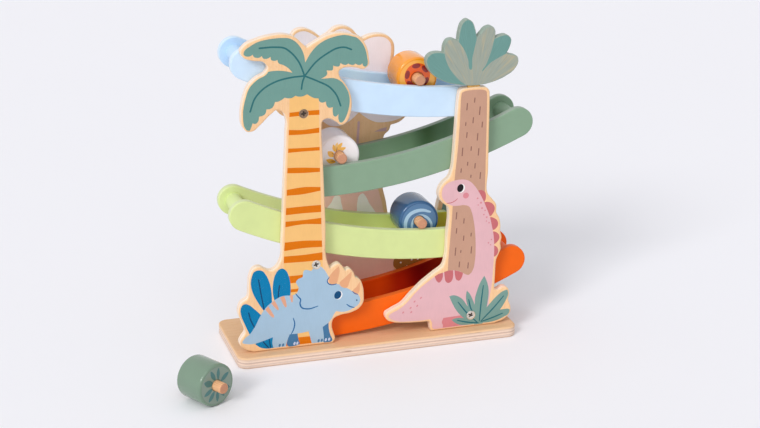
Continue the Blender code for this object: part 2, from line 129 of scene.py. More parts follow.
# Sawn outlines as (x, height above the base). A third value of 1 marks a sharp corner.
PALM_OUTLINE = [
    (-67, 291, 1), (-58, 296), (-47, 301), (-36, 302.5), (-25, 300.5), (-16, 296.5), (-11, 289),
    (-8.7, 279), (-9, 270.5), (-12.5, 267.7), (-22, 269.5), (-32, 270), (-37, 267), (-36.5, 262.5),
    (-31, 254.5), (-26.5, 245.5), (-25, 236), (-26.5, 226), (-30.5, 218), (-35, 216), (-41, 220),
    (-48, 223.3), (-53, 221.5), (-54, 215), (-53, 179), (-51.3, 119), (-50.6, 86), (-47.5, 76.2, 1),
    (-43, 78.8), (-38.5, 80), (-35, 77), (-32.5, 72.3, 1), (-28.5, 73.7), (-25, 71), (-22.5, 64.5, 1),
    (-18, 61.8), (-15.5, 56), (-14.2, 46), (-15, 37.5), (-19, 32.5), (-27, 29), (-38, 27.5),
    (-44.5, 24.5), (-46.2, 18), (-44.5, 10), (-43, 4.5), (-45, 0, 1), (-123, 0, 1), (-130, 3),
    (-136.5, 10.5), (-134, 15.8), (-131, 20), (-133, 29), (-136.8, 43), (-133.5, 51), (-128, 54.5),
    (-126.3, 64), (-125, 76), (-121, 83.5), (-115.5, 85), (-110, 82), (-105, 79.8), (-99.5, 82),
    (-95.3, 88.5), (-93.5, 108), (-90.5, 161), (-87.5, 213), (-87.2, 225), (-90.5, 232.7),
    (-95.5, 235.3), (-101, 232), (-112, 222), (-119, 216.8), (-124.5, 217), (-128.4, 222.5),
    (-129.2, 232), (-126.5, 248), (-122, 259), (-114, 266.3), (-105.5, 271), (-103.6, 275), (-107, 280),
    (-118, 282.5), (-126, 286), (-128.3, 291), (-124.5, 296.5), (-113, 301.5), (-100, 304.3),
    (-87, 304.5), (-79, 302), (-72, 296),
]
TRUNK_OUTLINE = [
    (79.8, 234.1), (81, 239.1), (84.8, 241.2), (88.5, 241.4), (103, 241.4), (107.3, 240.7),
    (109.8, 237.7), (110.3, 233.1), (110.3, 159), (110.6, 135.5), (115.5, 129.3), (119, 124.5),
    (119.5, 115.8, 1), (122.8, 109.5), (124.3, 101.5), (124, 96, 1), (125.6, 90.5), (124.4, 83.5, 1),
    (125.2, 78.5), (123, 72.5), (121, 68), (119.8, 51), (119.2, 36.5, 1), (123, 35), (128, 37.3),
    (132.5, 36.8), (135, 32), (134.4, 23), (136.8, 16), (136.5, 9.5), (131, 3.8), (120, 0, 1),
    (54, 0, 1), (52, 10.2, 1), (26, 11.8), (15, 13.8), (8.4, 18), (8.2, 22), (14, 26), (24.5, 31),
    (33.5, 40), (45, 50.5), (58, 60), (66.3, 66), (68.6, 74), (70, 97), (71.6, 119), (70.5, 125.3),
    (64.5, 130.8), (61, 137), (61.3, 143.5), (65.5, 150.2), (71.5, 155.5), (73.8, 162), (77, 197),
]
VOLCANO_OUTLINE = [
    (-66, 285.4), (-60, 291.7), (-52, 293.3), (-44, 290.3), (-34.5, 283.2, 1), (-28, 286.9),
    (-21, 292.2), (-14, 293.2), (-6, 290.6), (1, 283.3), (6, 279.9, 1), (13, 282.4), (22, 283.2),
    (31, 280.7), (36.3, 274.6), (37.5, 265), (36, 256, 1), (48, 250), (55, 237), (56, 219), (51, 201.5),
    (43.5, 194.8), (34, 192, 1), (32.3, 187), (27.5, 182.5), (26, 178), (25, 154), (25.6, 130),
    (29, 115), (31.3, 101), (36, 84), (46, 69), (60, 59.5), (72, 55), (77.5, 47), (78.5, 30),
    (78.5, 0, 1), (-92, 0, 1), (-90, 20), (-79, 52), (-70, 82), (-67, 114), (-64, 154), (-62, 180),
    (-63, 194), (-67, 205), (-78, 213), (-85, 227), (-84, 241), (-80, 250, 1), (-84, 261), (-82, 273),
    (-75, 282),
]
SHRUB_OUTLINE = [
    (82, 0, 1), (82, 45), (82.3, 85), (82.8, 99), (84.3, 108), (88, 117.5), (95, 125), (104, 128.5),
    (113, 127), (121, 120), (126, 109), (128, 95), (127, 80), (130, 62), (130.5, 40), (130, 0, 1),
]
FAN_OUTLINE = [
    (93, 0), (78, 1.9), (65, 5.8), (54.5, 12.5), (48.3, 20.7), (47.5, 29.2), (52, 33.5), (58.5, 34.4),
    (64, 33.5, 1), (64.7, 40.2), (68.2, 45.5), (73, 46.2), (78, 43.9, 1), (79.3, 52.7), (82.3, 60.5),
    (87.3, 63.5), (91.5, 61.2), (94.5, 54.7), (96.6, 45.7, 1), (100.5, 49.7), (106, 54.9),
    (111.5, 55.4), (114.5, 51.7), (114.4, 44, 1), (120, 46), (126.5, 46.4), (130.5, 42.7),
    (129.7, 35.2), (126.3, 28.6, 1), (132, 27.2), (137.3, 25), (138.6, 20.2), (134.8, 12.7), (126, 6.7),
    (113, 2), (102, 0.1),
]


def linear(colour):
    """Linear colour of an 8-bit sRGB one: the standard curve of power 2.4."""
    value = np.array(colour) / 255
    return np.where(value < 0.04045, value / 12.92, ((value + 0.055) / 1.055) ** 2.4)


def ink(red, green, blue, cover=1.0):
    """Ink as linear red, green, blue and how far it covers the wood."""
    return np.append(linear((red, green, blue)), cover)


BARE = np.zeros(4)


# Curves

def smooth(marks, reach=1.6, closed=True):
    """Smooth curve through marks, sampled about every `reach` millimetres.

    Each span is a cubic Hermite curve. Its end tangents are the mean of the neighbouring
    directions, weighted by the other span's length, times the span's own length or
    BEND_REACH times the neighbour's if that is less. A mark with a third value keeps the
    directions of its own spans, so it stays a corner.
    """
    spots = np.array([mark[:2] for mark in marks], float)
    sharp = np.array([len(mark) == 3 for mark in marks])
    step = np.roll(spots, -1, 0) - spots
    span = np.linalg.norm(step, axis=1)[:, None]
    ahead = step / span
    behind = np.roll(ahead, 1, 0)
    mean = behind * span + ahead * np.roll(span, 1, 0)
    mean /= np.linalg.norm(mean, axis=1)[:, None] + 1e-9
    if not closed:
        sharp[[0, -1]] = True
    leave = np.where(sharp[:, None], ahead, mean)
    arrive = np.where(sharp[:, None], behind, mean)
    last = len(spots) if closed else len(spots) - 1
    parts = np.clip(np.round(span[:last, 0] / reach), 1, 40).astype(int)
    index = np.repeat(np.arange(last), parts)
    start = np.repeat(np.cumsum(parts) - parts, parts)
    t = ((np.arange(len(index)) - start) / parts[index])[:, None]
    after = (index + 1) % len(spots)
    curve = spots[index] * (2 * t ** 3 - 3 * t ** 2 + 1) + spots[after] * (3 * t ** 2 - 2 * t ** 3)
    out = leave * np.minimum(span, BEND_REACH * np.roll(span, 1, 0))
    home = np.minimum(span, BEND_REACH * np.roll(span, -1, 0))
    curve += out[index] * (t ** 3 - 2 * t ** 2 + t) + arrive[after] * home[index] * (t ** 3 - t ** 2)
    return curve if closed else np.vstack((curve, spots[-1]))


def outward(outline):
    """Mitred outward normals of a closed outline: (n1 + n2) / (1 + n1 . n2)."""
    step = np.roll(outline, -1, 0) - outline
    step /= np.linalg.norm(step, axis=1)[:, None]
    normal = np.stack((step[:, 1], -step[:, 0]), 1)
    before = np.roll(normal, 1, 0)
    return (normal + before) / (1 + np.sum(normal * before, 1))[:, None].clip(0.3)


def counterclockwise(outline):
    """The outline, turned round if its signed area is negative."""
    following = np.roll(outline, -1, 0)
    area = np.sum(outline[:, 0] * following[:, 1] - outline[:, 1] * following[:, 0])
    return outline if area > 0 else outline[::-1]


def ring(radius, count=96, centre=(0.0, 0.0)):
    """Circle: radius times (cos, sin) round its centre."""
    turn = np.linspace(0, 2 * math.pi, count, endpoint=False)
    return np.stack((np.cos(turn), np.sin(turn)), 1) * radius + centre


def oval(x, z, wide, high, turn=0.0, count=28):
    """Ellipse of two half axes, turned by degrees about its centre."""
    spot = ring(1.0, count) * (wide, high)
    a = math.radians(turn)
    return spot @ np.array(((math.cos(a), math.sin(a)), (-math.sin(a), math.cos(a)))) + (x, z)


def stroke(marks, width, blunt=1.0):
    """Drawn line: a smooth path thickened to both sides, with round ends.

    Half the width follows blunt + (1 - blunt) * sin(pi t) ** 0.6 along the path.
    """
    path = smooth(marks, 1.2, closed=False)
    along = np.gradient(path, axis=0)
    along /= np.linalg.norm(along, axis=1)[:, None]
    side = np.stack((-along[:, 1], along[:, 0]), 1)
    t = np.linspace(0, 1, len(path))[:, None]
    half = width / 2 * (blunt + (1 - blunt) * np.sin(math.pi * t) ** 0.6)
    turn = np.linspace(0, math.pi, 8)[1:-1, None]
    far = path[-1] + half[-1] * (side[-1] * np.cos(turn) + along[-1] * np.sin(turn))
    near = path[0] - half[0] * (side[0] * np.cos(turn) + along[0] * np.sin(turn))
    return np.vstack((path + side * half, far, (path - side * half)[::-1], near))


def leaf(root, tip, width, lean):
    """Pointed leaf from root to tip: half width times sin(pi t) ** 0.8, bowed sideways by lean."""
    root, tip = np.array(root, float), np.array(tip, float)
    t = np.linspace(0, 1, 14)[:, None]
    across = np.array((-(tip - root)[1], (tip - root)[0]))
    across /= np.linalg.norm(across)
    middle = root + (tip - root) * t + across * lean * 4 * t * (1 - t)
    half = width / 2 * np.sin(math.pi * t) ** 0.8
    return np.vstack((middle + across * half, (middle - across * half)[-2:0:-1]))


# Meshes

class Shell:
    """One closed piece: grids of points and flat faces, written as one mesh."""

    def __init__(self):
        self.points = []
        self.locals = []
        self.rims = []
        self.faces = []
        self.inks = []
        self.total = 0

    def add(self, points, local, rim=False):
        """Add points (n, 3) with their places in the wood, and return their numbers."""
        first = self.total
        self.points.append(np.asarray(points, float))
        self.locals.append(np.asarray(local, float))
        self.rims.append(np.full(len(points), rim))
        self.total += len(points)
        return np.arange(first, self.total)

    def strip(self, rows, colour=BARE):
        """Quads between neighbouring closed rows of point numbers (rows, columns)."""
        rows = np.asarray(rows)
        after = np.roll(rows, -1, 1)
        quads = np.stack((rows[:-1], after[:-1], after[1:], rows[1:]), -1).reshape(-1, 4)
        self.faces += quads.tolist()
        self.inks.append(np.broadcast_to(colour, (len(quads), 4)))

    def cap(self, row, pole):
        """Bare triangles from a closed row of point numbers to one pole."""
        fan = np.stack((row, np.roll(row, -1), np.full(len(row), pole)), 1)
        self.faces += fan.tolist()
        self.inks.append(np.broadcast_to(BARE, (len(row), 4)))

    def flat(self, rows, spots, shapes, place, ground):
        """Flat face inside the first ring and outside the others, split along print outlines.

        It is a constrained Delaunay triangulation, and each triangle takes the ink of the
        last shape that holds it.
        """
        outlines = list(spots) + [counterclockwise(shape) for shape, _ in shapes]
        sizes = [len(outline) for outline in outlines]
        starts = np.cumsum([0] + sizes)
        loops = [list(range(a, a + n)) for a, n in zip(starts, sizes)]
        corners = [Vector(spot) for spot in np.concatenate(outlines)]
        made, _, triangles, source, _, owners = delaunay_2d_cdt(corners, [], loops, 1, 1e-5, True)
        numbers = np.concatenate(rows)
        kept = len(numbers)
        origin = np.array([min(old, default=kept) for old in source])
        where = numbers[np.minimum(origin, kept - 1)]
        fresh = origin >= kept
        if fresh.any():
            where[fresh] = self.add(*place(np.array([spot[:] for spot in made])[fresh]))
        palette = np.array([ground] * len(rows) + [colour for _, colour in shapes])
        holes = set(range(1, len(rows)))
        inside = np.array([0 in held and holes.isdisjoint(held) for held in owners])
        topmost = np.array([max(held, default=0) for held in owners])
        self.faces += where[np.array(triangles)[inside]].tolist()
        self.inks.append(palette[topmost[inside]])

    def write(self, name, finish):
        """Write the mesh in metres, with its ink and its place in the wood as attributes."""
        mesh = bpy.data.meshes.new(name)
        mesh.from_pydata((np.concatenate(self.points) * MM).tolist(), [], self.faces)
        sizes = np.array([len(face) for face in self.faces])
        colours = np.repeat(np.concatenate(self.inks), sizes, 0)
        layer = mesh.color_attributes.new("ink", "FLOAT_COLOR", "CORNER")
        layer.data.foreach_set("color", colours.astype(np.float32).ravel())
        place = mesh.attributes.new("grain", "FLOAT_VECTOR", "POINT")
        place.data.foreach_set("vector", np.concatenate(self.locals).astype(np.float32).ravel())
        shape = bmesh.new()
        shape.from_mesh(mesh)
        bmesh.ops.recalc_face_normals(shape, faces=shape.faces)
        shape.to_mesh(mesh)
        shape.free()
        mesh.shade_smooth()
        edges = np.zeros(len(mesh.edges) * 2, int)
        mesh.edges.foreach_get("vertices", edges)
        crisp = np.concatenate(self.rims)[edges.reshape(-1, 2)].all(1)
        mesh.attributes.new("sharp_edge", "BOOLEAN", "EDGE").data.foreach_set("value", crisp)
        mesh.materials.append(finish)
        return linked(name, mesh)


def linked(name, data):
    """New object that shows some data in the scene."""
    thing = bpy.data.objects.new(name, data)
    bpy.context.collection.objects.link(thing)
    return thing


def upright(front):
    """Place in space for a sheet that stands with its front face at Y = front; grain runs up."""
    def place(spot, depth):
        x, z = spot[..., 0], spot[..., 1]
        depth = np.broadcast_to(depth, x.shape)
        return np.stack((x, front + depth, z), -1), np.stack((x, depth, z), -1)
    return place


def lying(top):
    """Place in space for a sheet that lies with its upper face at Z = top; grain runs along X."""
    def place(spot, depth):
        x, y = spot[..., 0], spot[..., 1]
        depth = np.broadcast_to(depth, x.shape)
        return np.stack((x, y, top - depth), -1), np.stack((y, depth, x), -1)
    return place


def axial(centre, back, half):
    """Place in space for a turned piece: its axis runs level to the back, and so does its grain."""
    back = np.array((back[0], back[1], 0.0))
    right = np.array((back[1], -back[0], 0.0))
    centre = np.array(centre, float)

    def place(spot, depth):
        depth = np.broadcast_to(depth, spot[..., 0].shape)
        points = centre + spot[..., :1] * right + (depth - half)[..., None] * back
        points = points + spot[..., 1:] * np.array((0.0, 0.0, 1.0))
        return points, np.stack((spot[..., 0], spot[..., 1], depth - half), -1)
    return place


def eased(ease, thickness, steps=6):
    """Insets and depths through a sheet: quarter rounds ease * (1 - sin a), ease * (1 - cos a)."""
    a = np.linspace(0, math.pi / 2, steps)
    inset, depth = ease * (1 - np.sin(a)), ease * (1 - np.cos(a))
    return np.append(inset, inset[::-1]), np.append(depth, thickness - depth[::-1])


def solid(outline, thickness, ease, place, prints=(), pockets=((), ()), bore=0.0, ground=BARE, rim=BARE):
    """Sheet or rod with eased edges.

    The outline is carried through the thickness and drawn in along its mitred normals by a
    quarter round at both faces. Both faces are split along the prints. Pockets are
    countersunk screw holes in the front and in the back, and a bore goes right through.
    """
    shell = Shell()
    outline = counterclockwise(outline)
    normal = outward(outline)

    def carried(outlines, depths, crisp=False):
        """Rows of points at depths, of which the first and the last are crisp edges."""
        ends = (0, len(depths) - 1)
        return [shell.add(*place(spots, deep), crisp or k in ends)
                for k, (spots, deep) in enumerate(zip(outlines, depths))]

    inset, depth = eased(ease, thickness)
    side = carried([outline - normal * draw for draw in inset], depth)
    shell.strip(side, rim)
    face = outline - normal * inset[0]
    rings = ([face], [face])
    rows = ([side[0]], [side[-1]])
    if bore:
        inset, depth = eased(BORE_EASE, thickness, 4)
        tube = carried([ring(bore + draw) for draw in inset], depth)
        shell.strip(tube[::-1], ground)
        for back in (0, 1):
            rings[back].append(ring(bore + inset[0]))
            rows[back].append(tube[-back])
    for back, places in enumerate(pockets):
        for spot in places:
            depth = [thickness - deep if back else deep for _, deep in SCREW_HOLE]
            outlines = [ring(radius, 40, spot) for radius, _ in SCREW_HOLE]
            hole = carried(outlines, depth, True)
            shell.strip(hole)
            shell.cap(hole[-1], shell.add(*place(np.array((spot,), float), depth[-1]))[0])
            rings[back].append(outlines[0])
            rows[back].append(hole[0])
    for back, deep in enumerate((0.0, thickness)):
        shell.flat(rows[back], rings[back], prints, lambda spot: place(spot, deep), ground)
    return shell


def rod(radius, count, length, ease, centre, back=(0.0, 1.0), **extras):
    """Turned piece round a level axis through its centre."""
    return solid(ring(radius, count), length, ease, axial(centre, back, length / 2), **extras)


def screw(centre, along):
    """Countersunk screw with a cross recess, its head flush at the centre and pointing along.

    The head is a height over a polar grid: sunk a little, drawn down at its edge, and deep
    where either of two crossed slots or a round in the middle, all with soft edges, takes
    metal away. Each screw is turned by an angle that follows its place.
    """
    centre, along = np.array(centre, float), np.array(along, float)
    first = np.array((1.0, 0.0, 0.0))
    second = np.cross(along, first)
    tilt = math.radians(31.0 + 17.0 * centre[0])
    turn = np.linspace(0, 2 * math.pi, 72, endpoint=False)
    radius = np.append(np.linspace(0.12, 3.9, 24), (4.1, 4.22, SCREW_HEAD))[:, None]
    p, q = radius * np.cos(turn - tilt), radius * np.sin(turn - tilt)
    away = np.hypot(p, q)

    def soft(value, limit, blur):
        return np.clip((limit - np.abs(value)) / blur + 0.5, 0, 1)

    slot = np.maximum(soft(p, SLOT_REACH, 0.5) * soft(q, SLOT_HALF, 0.35),
                      soft(q, SLOT_REACH, 0.5) * soft(p, SLOT_HALF, 0.35))
    slot = np.maximum(slot, soft(away, SLOT_MIDDLE, 0.5))
    bevel = 0.12 * (radius > HEAD_FLAT) * (radius - HEAD_FLAT) / 0.1
    low = HEAD_SINK + SLOT_DEPTH * slot * (1 - 0.25 * away / SLOT_REACH).clip(0.4) + bevel
    shell = Shell()

    def put(r, deep):
        deep = np.broadcast_to(deep, turn.shape)
        flat = np.stack((r * np.cos(turn), r * np.sin(turn)), -1)
        points = centre + flat[:, :1] * first + flat[:, 1:] * second + deep[:, None] * along
        return points, np.stack((flat[:, 0], flat[:, 1], deep), -1)

    rows = [shell.add(*put(r, deep)) for r, deep in zip(radius[:, 0], low)]
    rows += [shell.add(*put(r, deep), rim=True) for r, deep in SCREW_SHANK]
    shell.strip(rows)
    for row, deep in ((rows[0], low[0].mean()), (rows[-1], SCREW_SHANK[-1][1])):
        shell.cap(row, shell.add((centre + along * deep,), ((0, 0, deep),))[0])
    return shell


def show(shell, name, body, slot, finish, *nodes):
    """Write a piece, let it ride on its body, and let it stand for its solids."""
    thing = shell.write(name, finish)
    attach(thing, body)
    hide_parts(*nodes)


# Node groups and finishes

def node(tree, kind, values=None, **settings):
    """Add a shader node with settings, and numbers or values for its inputs by name or number."""
    made = tree.nodes.new(kind)
    for key, setting in settings.items():
        setattr(made, key, setting)
    for key, value in (values or {}).items():
        if isinstance(value, Value):
            tree.links.new(value.socket, made.inputs[key])
        else:
            made.inputs[key].default_value = value
    return made


def output(tree, kind, values=None, key=0, **settings):
    """One output of a new node."""
    return Value(node(tree, kind, values, **settings).outputs[key])


def rgba(colour):
    """Opaque linear colour of an 8-bit sRGB one; a value stays as it is."""
    return colour if isinstance(colour, Value) else (*linear(colour), 1.0)


class Value:
    """An output of a node. Values are added, subtracted and multiplied like numbers."""

    def __init__(self, socket):
        self.socket = socket
        self.tree = socket.id_data

    def maths(self, operation, *others):
        """A math node on this value and others."""
        return output(self.tree, "ShaderNodeMath", dict(enumerate((self, *others))), operation=operation)

    def __add__(self, other):
        return self.maths("ADD", other)

    def __sub__(self, other):
        return self.maths("SUBTRACT", other)

    def __rsub__(self, other):
        return output(self.tree, "ShaderNodeMath", {0: other, 1: self}, operation="SUBTRACT")

    def __mul__(self, other):
        return self.maths("MULTIPLY", other)

    def moved(self, *steps):
        """This vector plus three numbers."""
        return output(self.tree, "ShaderNodeVectorMath", {0: self, 1: steps}, operation="ADD")

    def scaled(self, *factors):
        """This vector times three numbers."""
        return output(self.tree, "ShaderNodeVectorMath", {0: self, 1: factors}, operation="MULTIPLY")

    def length(self):
        """The length of this vector."""
        return output(self.tree, "ShaderNodeVectorMath", {0: self}, "Value", operation="LENGTH")

    def parts(self):
        """The three parts of this vector."""
        return [Value(part) for part in node(self.tree, "ShaderNodeSeparateXYZ", {0: self}).outputs]

    def noise(self, scale, detail, rough=0.5):
        """A noise texture at this place."""
        sizes = {"Vector": self, "Scale": scale, "Detail": detail, "Roughness": rough}
        return output(self.tree, "ShaderNodeTexNoise", sizes, "Fac")

    def ranged(self, low, high, to_low=0.0, to_high=1.0):
        """This value moved by a smooth step from one range to another, held at the ends."""
        return output(self.tree, "ShaderNodeMapRange", {0: self, 1: low, 2: high, 3: to_low, 4: to_high},
                      interpolation_type="SMOOTHSTEP")

    def mix(self, first, second):
        """Two colours, each a value or an 8-bit colour, mixed by this value."""
        return output(self.tree, "ShaderNodeMix", {0: self, 6: rgba(first), 7: rgba(second)}, 2,
                      data_type="RGBA")

    def shaded(self, shade):
        """This colour times a grey value."""
        grey = output(self.tree, "ShaderNodeCombineXYZ", {0: shade, 1: shade, 2: shade})
        return output(self.tree, "ShaderNodeMix", {0: 1.0, 6: self, 7: grey}, 2,
                      data_type="RGBA", blend_type="MULTIPLY")

    def colours(self, marks, low, high, kind):
        """Colours at marks (place, colour), while this value runs by a smooth step from low to high."""
        ramp = node(self.tree, "ShaderNodeValToRGB", {0: self.ranged(low, high)})
        ramp.color_ramp.interpolation = kind
        steps = ramp.color_ramp.elements
        while len(steps) < len(marks):
            steps.new(0.5)
        for step, (place, colour) in zip(steps, marks):
            step.position = (place - low) / (high - low)
            step.color = rgba(colour)
        return Value(ramp.outputs[0])


def group(name, effect):
    """Node group that works out an effect's named values from a place in the wood, in millimetres."""
    tree = bpy.data.node_groups.new(name, "ShaderNodeTree")
    tree.interface.new_socket(name="Place", in_out="INPUT", socket_type="NodeSocketVector")
    values = effect(output(tree, "NodeGroupInput"))
    for label in values:
        tree.interface.new_socket(name=label, in_out="OUTPUT", socket_type="NodeSocketFloat")
    node(tree, "NodeGroupOutput", values)
    return tree


def wood_grain(place):
    """Wood grain, where a place is across, depth and along.

    Figure: broad noise drawn out along the grain, folded by a sine into growth bands.
    Fibre: fine noise drawn out along it. Pores: the brightest specks of a finer noise.
    """
    broad = place.scaled(0.055, 0.055, 0.0045).noise(1.0, 2.0)
    fibre = place.scaled(2.4, 2.4, 0.09).noise(1.0, 4.0, 0.6)
    specks = place.scaled(3.4, 3.4, 0.2).noise(1.0, 1.0)
    return {"Figure": (broad * 75.0).maths("SINE").ranged(-1.0, 1.0),
            "Fibre": fibre.ranged(0.25, 0.75), "Pores": specks.ranged(0.64, 0.74)}


def end_grain(place):
    """End grain: growth rings as the sine of a wandering distance, with fine open pores."""
    flat = place.moved(9.0, 14.0, 0.0).scaled(1.0, 1.0, 0.0)
    distance = flat.length() + flat.noise(0.25, 2.0) * 3.0
    return {"Rings": (distance * 5.0).maths("SINE").ranged(-1.0, 1.0),
            "Pores": flat.noise(5.0, 1.0).ranged(0.6, 0.72)}


def paint_film(place):
    """Paint film: slow cloudiness, fine orange peel with faint fibres under it, and specks."""
    fibre = place.scaled(1.6, 1.6, 0.07).noise(1.0, 3.0)
    return {"Cloud": place.noise(0.06, 3.0).ranged(0.3, 0.7),
            "Peel": place.noise(1.3, 2.0) * 0.5 + fibre * 0.5,
            "Specks": place.noise(2.2, 0.0).ranged(0.76, 0.8)}


WOOD_GRAIN = group("wood grain", wood_grain)
END_GRAIN = group("end grain", end_grain)
PAINT_FILM = group("paint film", paint_film)


class Finish:
    """A material under construction: a Principled shader and the piece's own places."""

    def __init__(self, name, roughness, specular, metallic=0.0):
        self.material = bpy.data.materials.new(name)
        self.material.use_nodes = True
        self.tree = self.material.node_tree
        self.sockets = self.tree.nodes["Principled BSDF"].inputs
        self.sockets["Roughness"].default_value = roughness
        self.sockets["Specular IOR Level"].default_value = specular
        self.sockets["Metallic"].default_value = metallic
        self.place = output(self.tree, "ShaderNodeAttribute", key="Vector", attribute_name="grain")

    def effect(self, tree):
        """Outputs of a node group at the piece's own places."""
        made = node(self.tree, "ShaderNodeGroup", node_tree=tree)
        self.tree.links.new(self.place.socket, made.inputs["Place"])
        return {socket.name: Value(socket) for socket in made.outputs}

    def ink(self):
        """Colour and cover of the printed ink."""
        made = node(self.tree, "ShaderNodeAttribute", attribute_name="ink").outputs
        return Value(made["Color"]), Value(made["Alpha"])

    def feed(self, key, value):
        """Link a value to the shader."""
        self.tree.links.new(value.socket, self.sockets[key])

    def end(self, colour, rough, height, distance, strength):
        """Feed colour, roughness and a bump of that distance in millimetres to the shader."""
        sizes = {"Strength": strength, "Distance": distance * MM, "Height": height}
        self.feed("Base Color", colour)
        self.feed("Roughness", rough)
        self.feed("Normal", output(self.tree, "ShaderNodeBump", sizes))
        return self.material


# Colours of wood: light, dark and sawn ends, specks in it, and the plies by depth
BASE_VENEER = ((231, 190, 150), (224, 179, 137))
BOARD_VENEER = ((246, 204, 158), (241, 193, 144))
TENON_VENEER = ((242, 196, 120), (228, 176, 96))
PEG_WOOD = ((236, 186, 142), (214, 156, 108), (208, 148, 114))
SPACER_WOOD = ((238, 196, 146), (220, 170, 116), (222, 178, 140))
FLECK = (128, 88, 62)
VENEER_PORE = (176, 124, 84)
TURNED_PORE = (168, 112, 70)
END_PORE = (140, 92, 72)
CREAM = (252, 234, 218)
TAN = (228, 194, 166)
PALE = (242, 216, 196)
SKIN = (248, 216, 180)
BOARD_PLIES = [(0, SKIN), (0.9, CREAM), (3.7, TAN), (4.6, CREAM), (6.3, TAN), (7.2, CREAM), (9.1, SKIN)]
BASE_PLIES = [
    (0, (238, 198, 156)), (0.8, (227, 196, 173)), (2.0, (234, 206, 185)), (3.0, PALE),
    (4.4, (211, 180, 163)), (6.2, (232, 203, 183)), (7.1, PALE), (8.4, (223, 197, 181)),
    (9.6, (229, 204, 188)), (10.4, (220, 190, 168)),
]
TENON_PLIES = [(0, (238, 190, 110)), (2, (236, 186, 106))]


def veneer(finish, light, dark, pore):
    """Bare wood colour: light to dark by figure and fibre, with darker pores."""
    grain = finish.effect(WOOD_GRAIN)
    tone = grain["Figure"] * 0.4 + grain["Fibre"] * 0.6
    return (grain["Pores"] * 0.5).mix(tone.mix(light, dark), pore), grain


def plies(finish, marks, thickness, flecks):
    """Colour of the plies on a sawn edge: steps over the depth, wandering a little, with fine fibres."""
    depth = finish.place.parts()[1]
    wander = finish.place.scaled(0.05, 0.2, 0.05).noise(1.0, 2.0)
    steps = (depth + (wander - 0.5) * 0.5).colours(marks, 0.0, thickness, "CONSTANT")
    fibre = finish.place.scaled(0.5, 5.0, 0.5).noise(1.0, 3.0)
    fleck = finish.place.scaled(0.045, 0.8, 0.045).noise(1.0, 1.0)
    colour = steps.shaded(fibre.ranged(0.3, 0.7, 0.94, 1.03))
    return (fleck.ranged(0.7, 0.77) * flecks).mix(colour, FLECK), depth


def plywood(name, marks, thickness, light, dark, printed=False):
    """Plywood: veneer on the faces, plies on the edges, and ink where a print covers the veneer."""
    finish = Finish(name, 0.5, 0.14)
    face, grain = veneer(finish, light, dark, VENEER_PORE)
    edge, depth = plies(finish, marks, thickness, 0.1 if printed else 0.5)
    colour = depth.maths("MINIMUM", thickness - depth).ranged(0.3, 0.6).mix(face, edge)
    height = grain["Fibre"] - grain["Pores"]
    rough = grain["Fibre"].ranged(0.0, 1.0, 0.46, 0.58)
    if printed:
        film = finish.effect(PAINT_FILM)
        print_colour, cover = finish.ink()
        shade = film["Cloud"].ranged(0.0, 1.0, 0.985, 1.015) * grain["Fibre"].ranged(0.0, 1.0, 1.02, 0.975)
        worn = cover * film["Specks"].ranged(0.0, 1.0, 1.0, 0.75)
        colour = worn.mix(colour, print_colour.shaded(shade))
        rough = rough - cover * 0.06
        height = height * 0.6 + cover * 0.5
    return finish.end(colour, rough, height, 0.06, 0.5)


# Distances from the middle plane: where a rail's inner face, with its painted light and shade, ends, and
# where its sawn edge begins and ends
CHANNEL_END = (20.9, 21.7)
SAWN_START = (21.2, 22.0)
SAWN_END = (27.6, 28.4)
# Stretch along x over which the painted light and shade on the inside faces of the rails runs
PAINTED_LIGHT_AND_SHADE_RUN = (-150.0, 170.0)


def paint(name, colour, printed=False, painted_light_and_shade=None, greyed=0.0):
    """Paint on wood: cloudiness, orange peel, raised fibres; glossier, with ink, where printed.

    A rail has painted light and shade along x on the inside faces between its rails, lighter where the
    inside is lit and darker where it lies in shade, and its sawn edges are greyed by a share.
    """
    finish = Finish(name, 0.42, 0.62 if printed else 0.2)
    film = finish.effect(PAINT_FILM)
    base = np.array(colour, float)
    laid = film["Cloud"].mix(base * 0.988, np.clip(base * 1.0072, 0, 252))
    if painted_light_and_shade:
        along, across, _ = output(finish.tree, "ShaderNodeTexCoord", key="Object").parts()
        across = across.maths("ABSOLUTE").maths("DIVIDE", MM)
        # Painted light and shade: tones along x replace the paint on the inside faces between the rails
        tone = along.maths("DIVIDE", MM).colours(painted_light_and_shade, *PAINTED_LIGHT_AND_SHADE_RUN, "EASE")
        laid = across.ranged(*CHANNEL_END, 1.0, 0.0).mix(laid, tone)
        sawn = across.ranged(*SAWN_START) * across.ranged(*SAWN_END, 1.0, 0.0)
        laid = (sawn * greyed).mix(laid, np.full(3, base.mean() * 0.9 + 40))
    if printed:
        print_colour, cover = finish.ink()
        laid = cover.mix(laid, print_colour.shaded(film["Cloud"].ranged(0.0, 1.0, 0.98, 1.02)))
    laid = (film["Specks"] * 0.08).mix(laid, base * 0.8)
    gloss, distance, strength = ((0.12, 0.18), 0.03, 0.3) if printed else ((0.36, 0.48), 0.06, 0.4)
    return finish.end(laid, film["Peel"].ranged(0.3, 0.7, *gloss), film["Peel"], distance, strength)


# Where the fan's brush strokes meet (x, z), and their colours
FAN_ROOT = (94.0, 246.0)
FAN_WARM = (202, 178, 132)
FAN_COOL = (128, 148, 146)


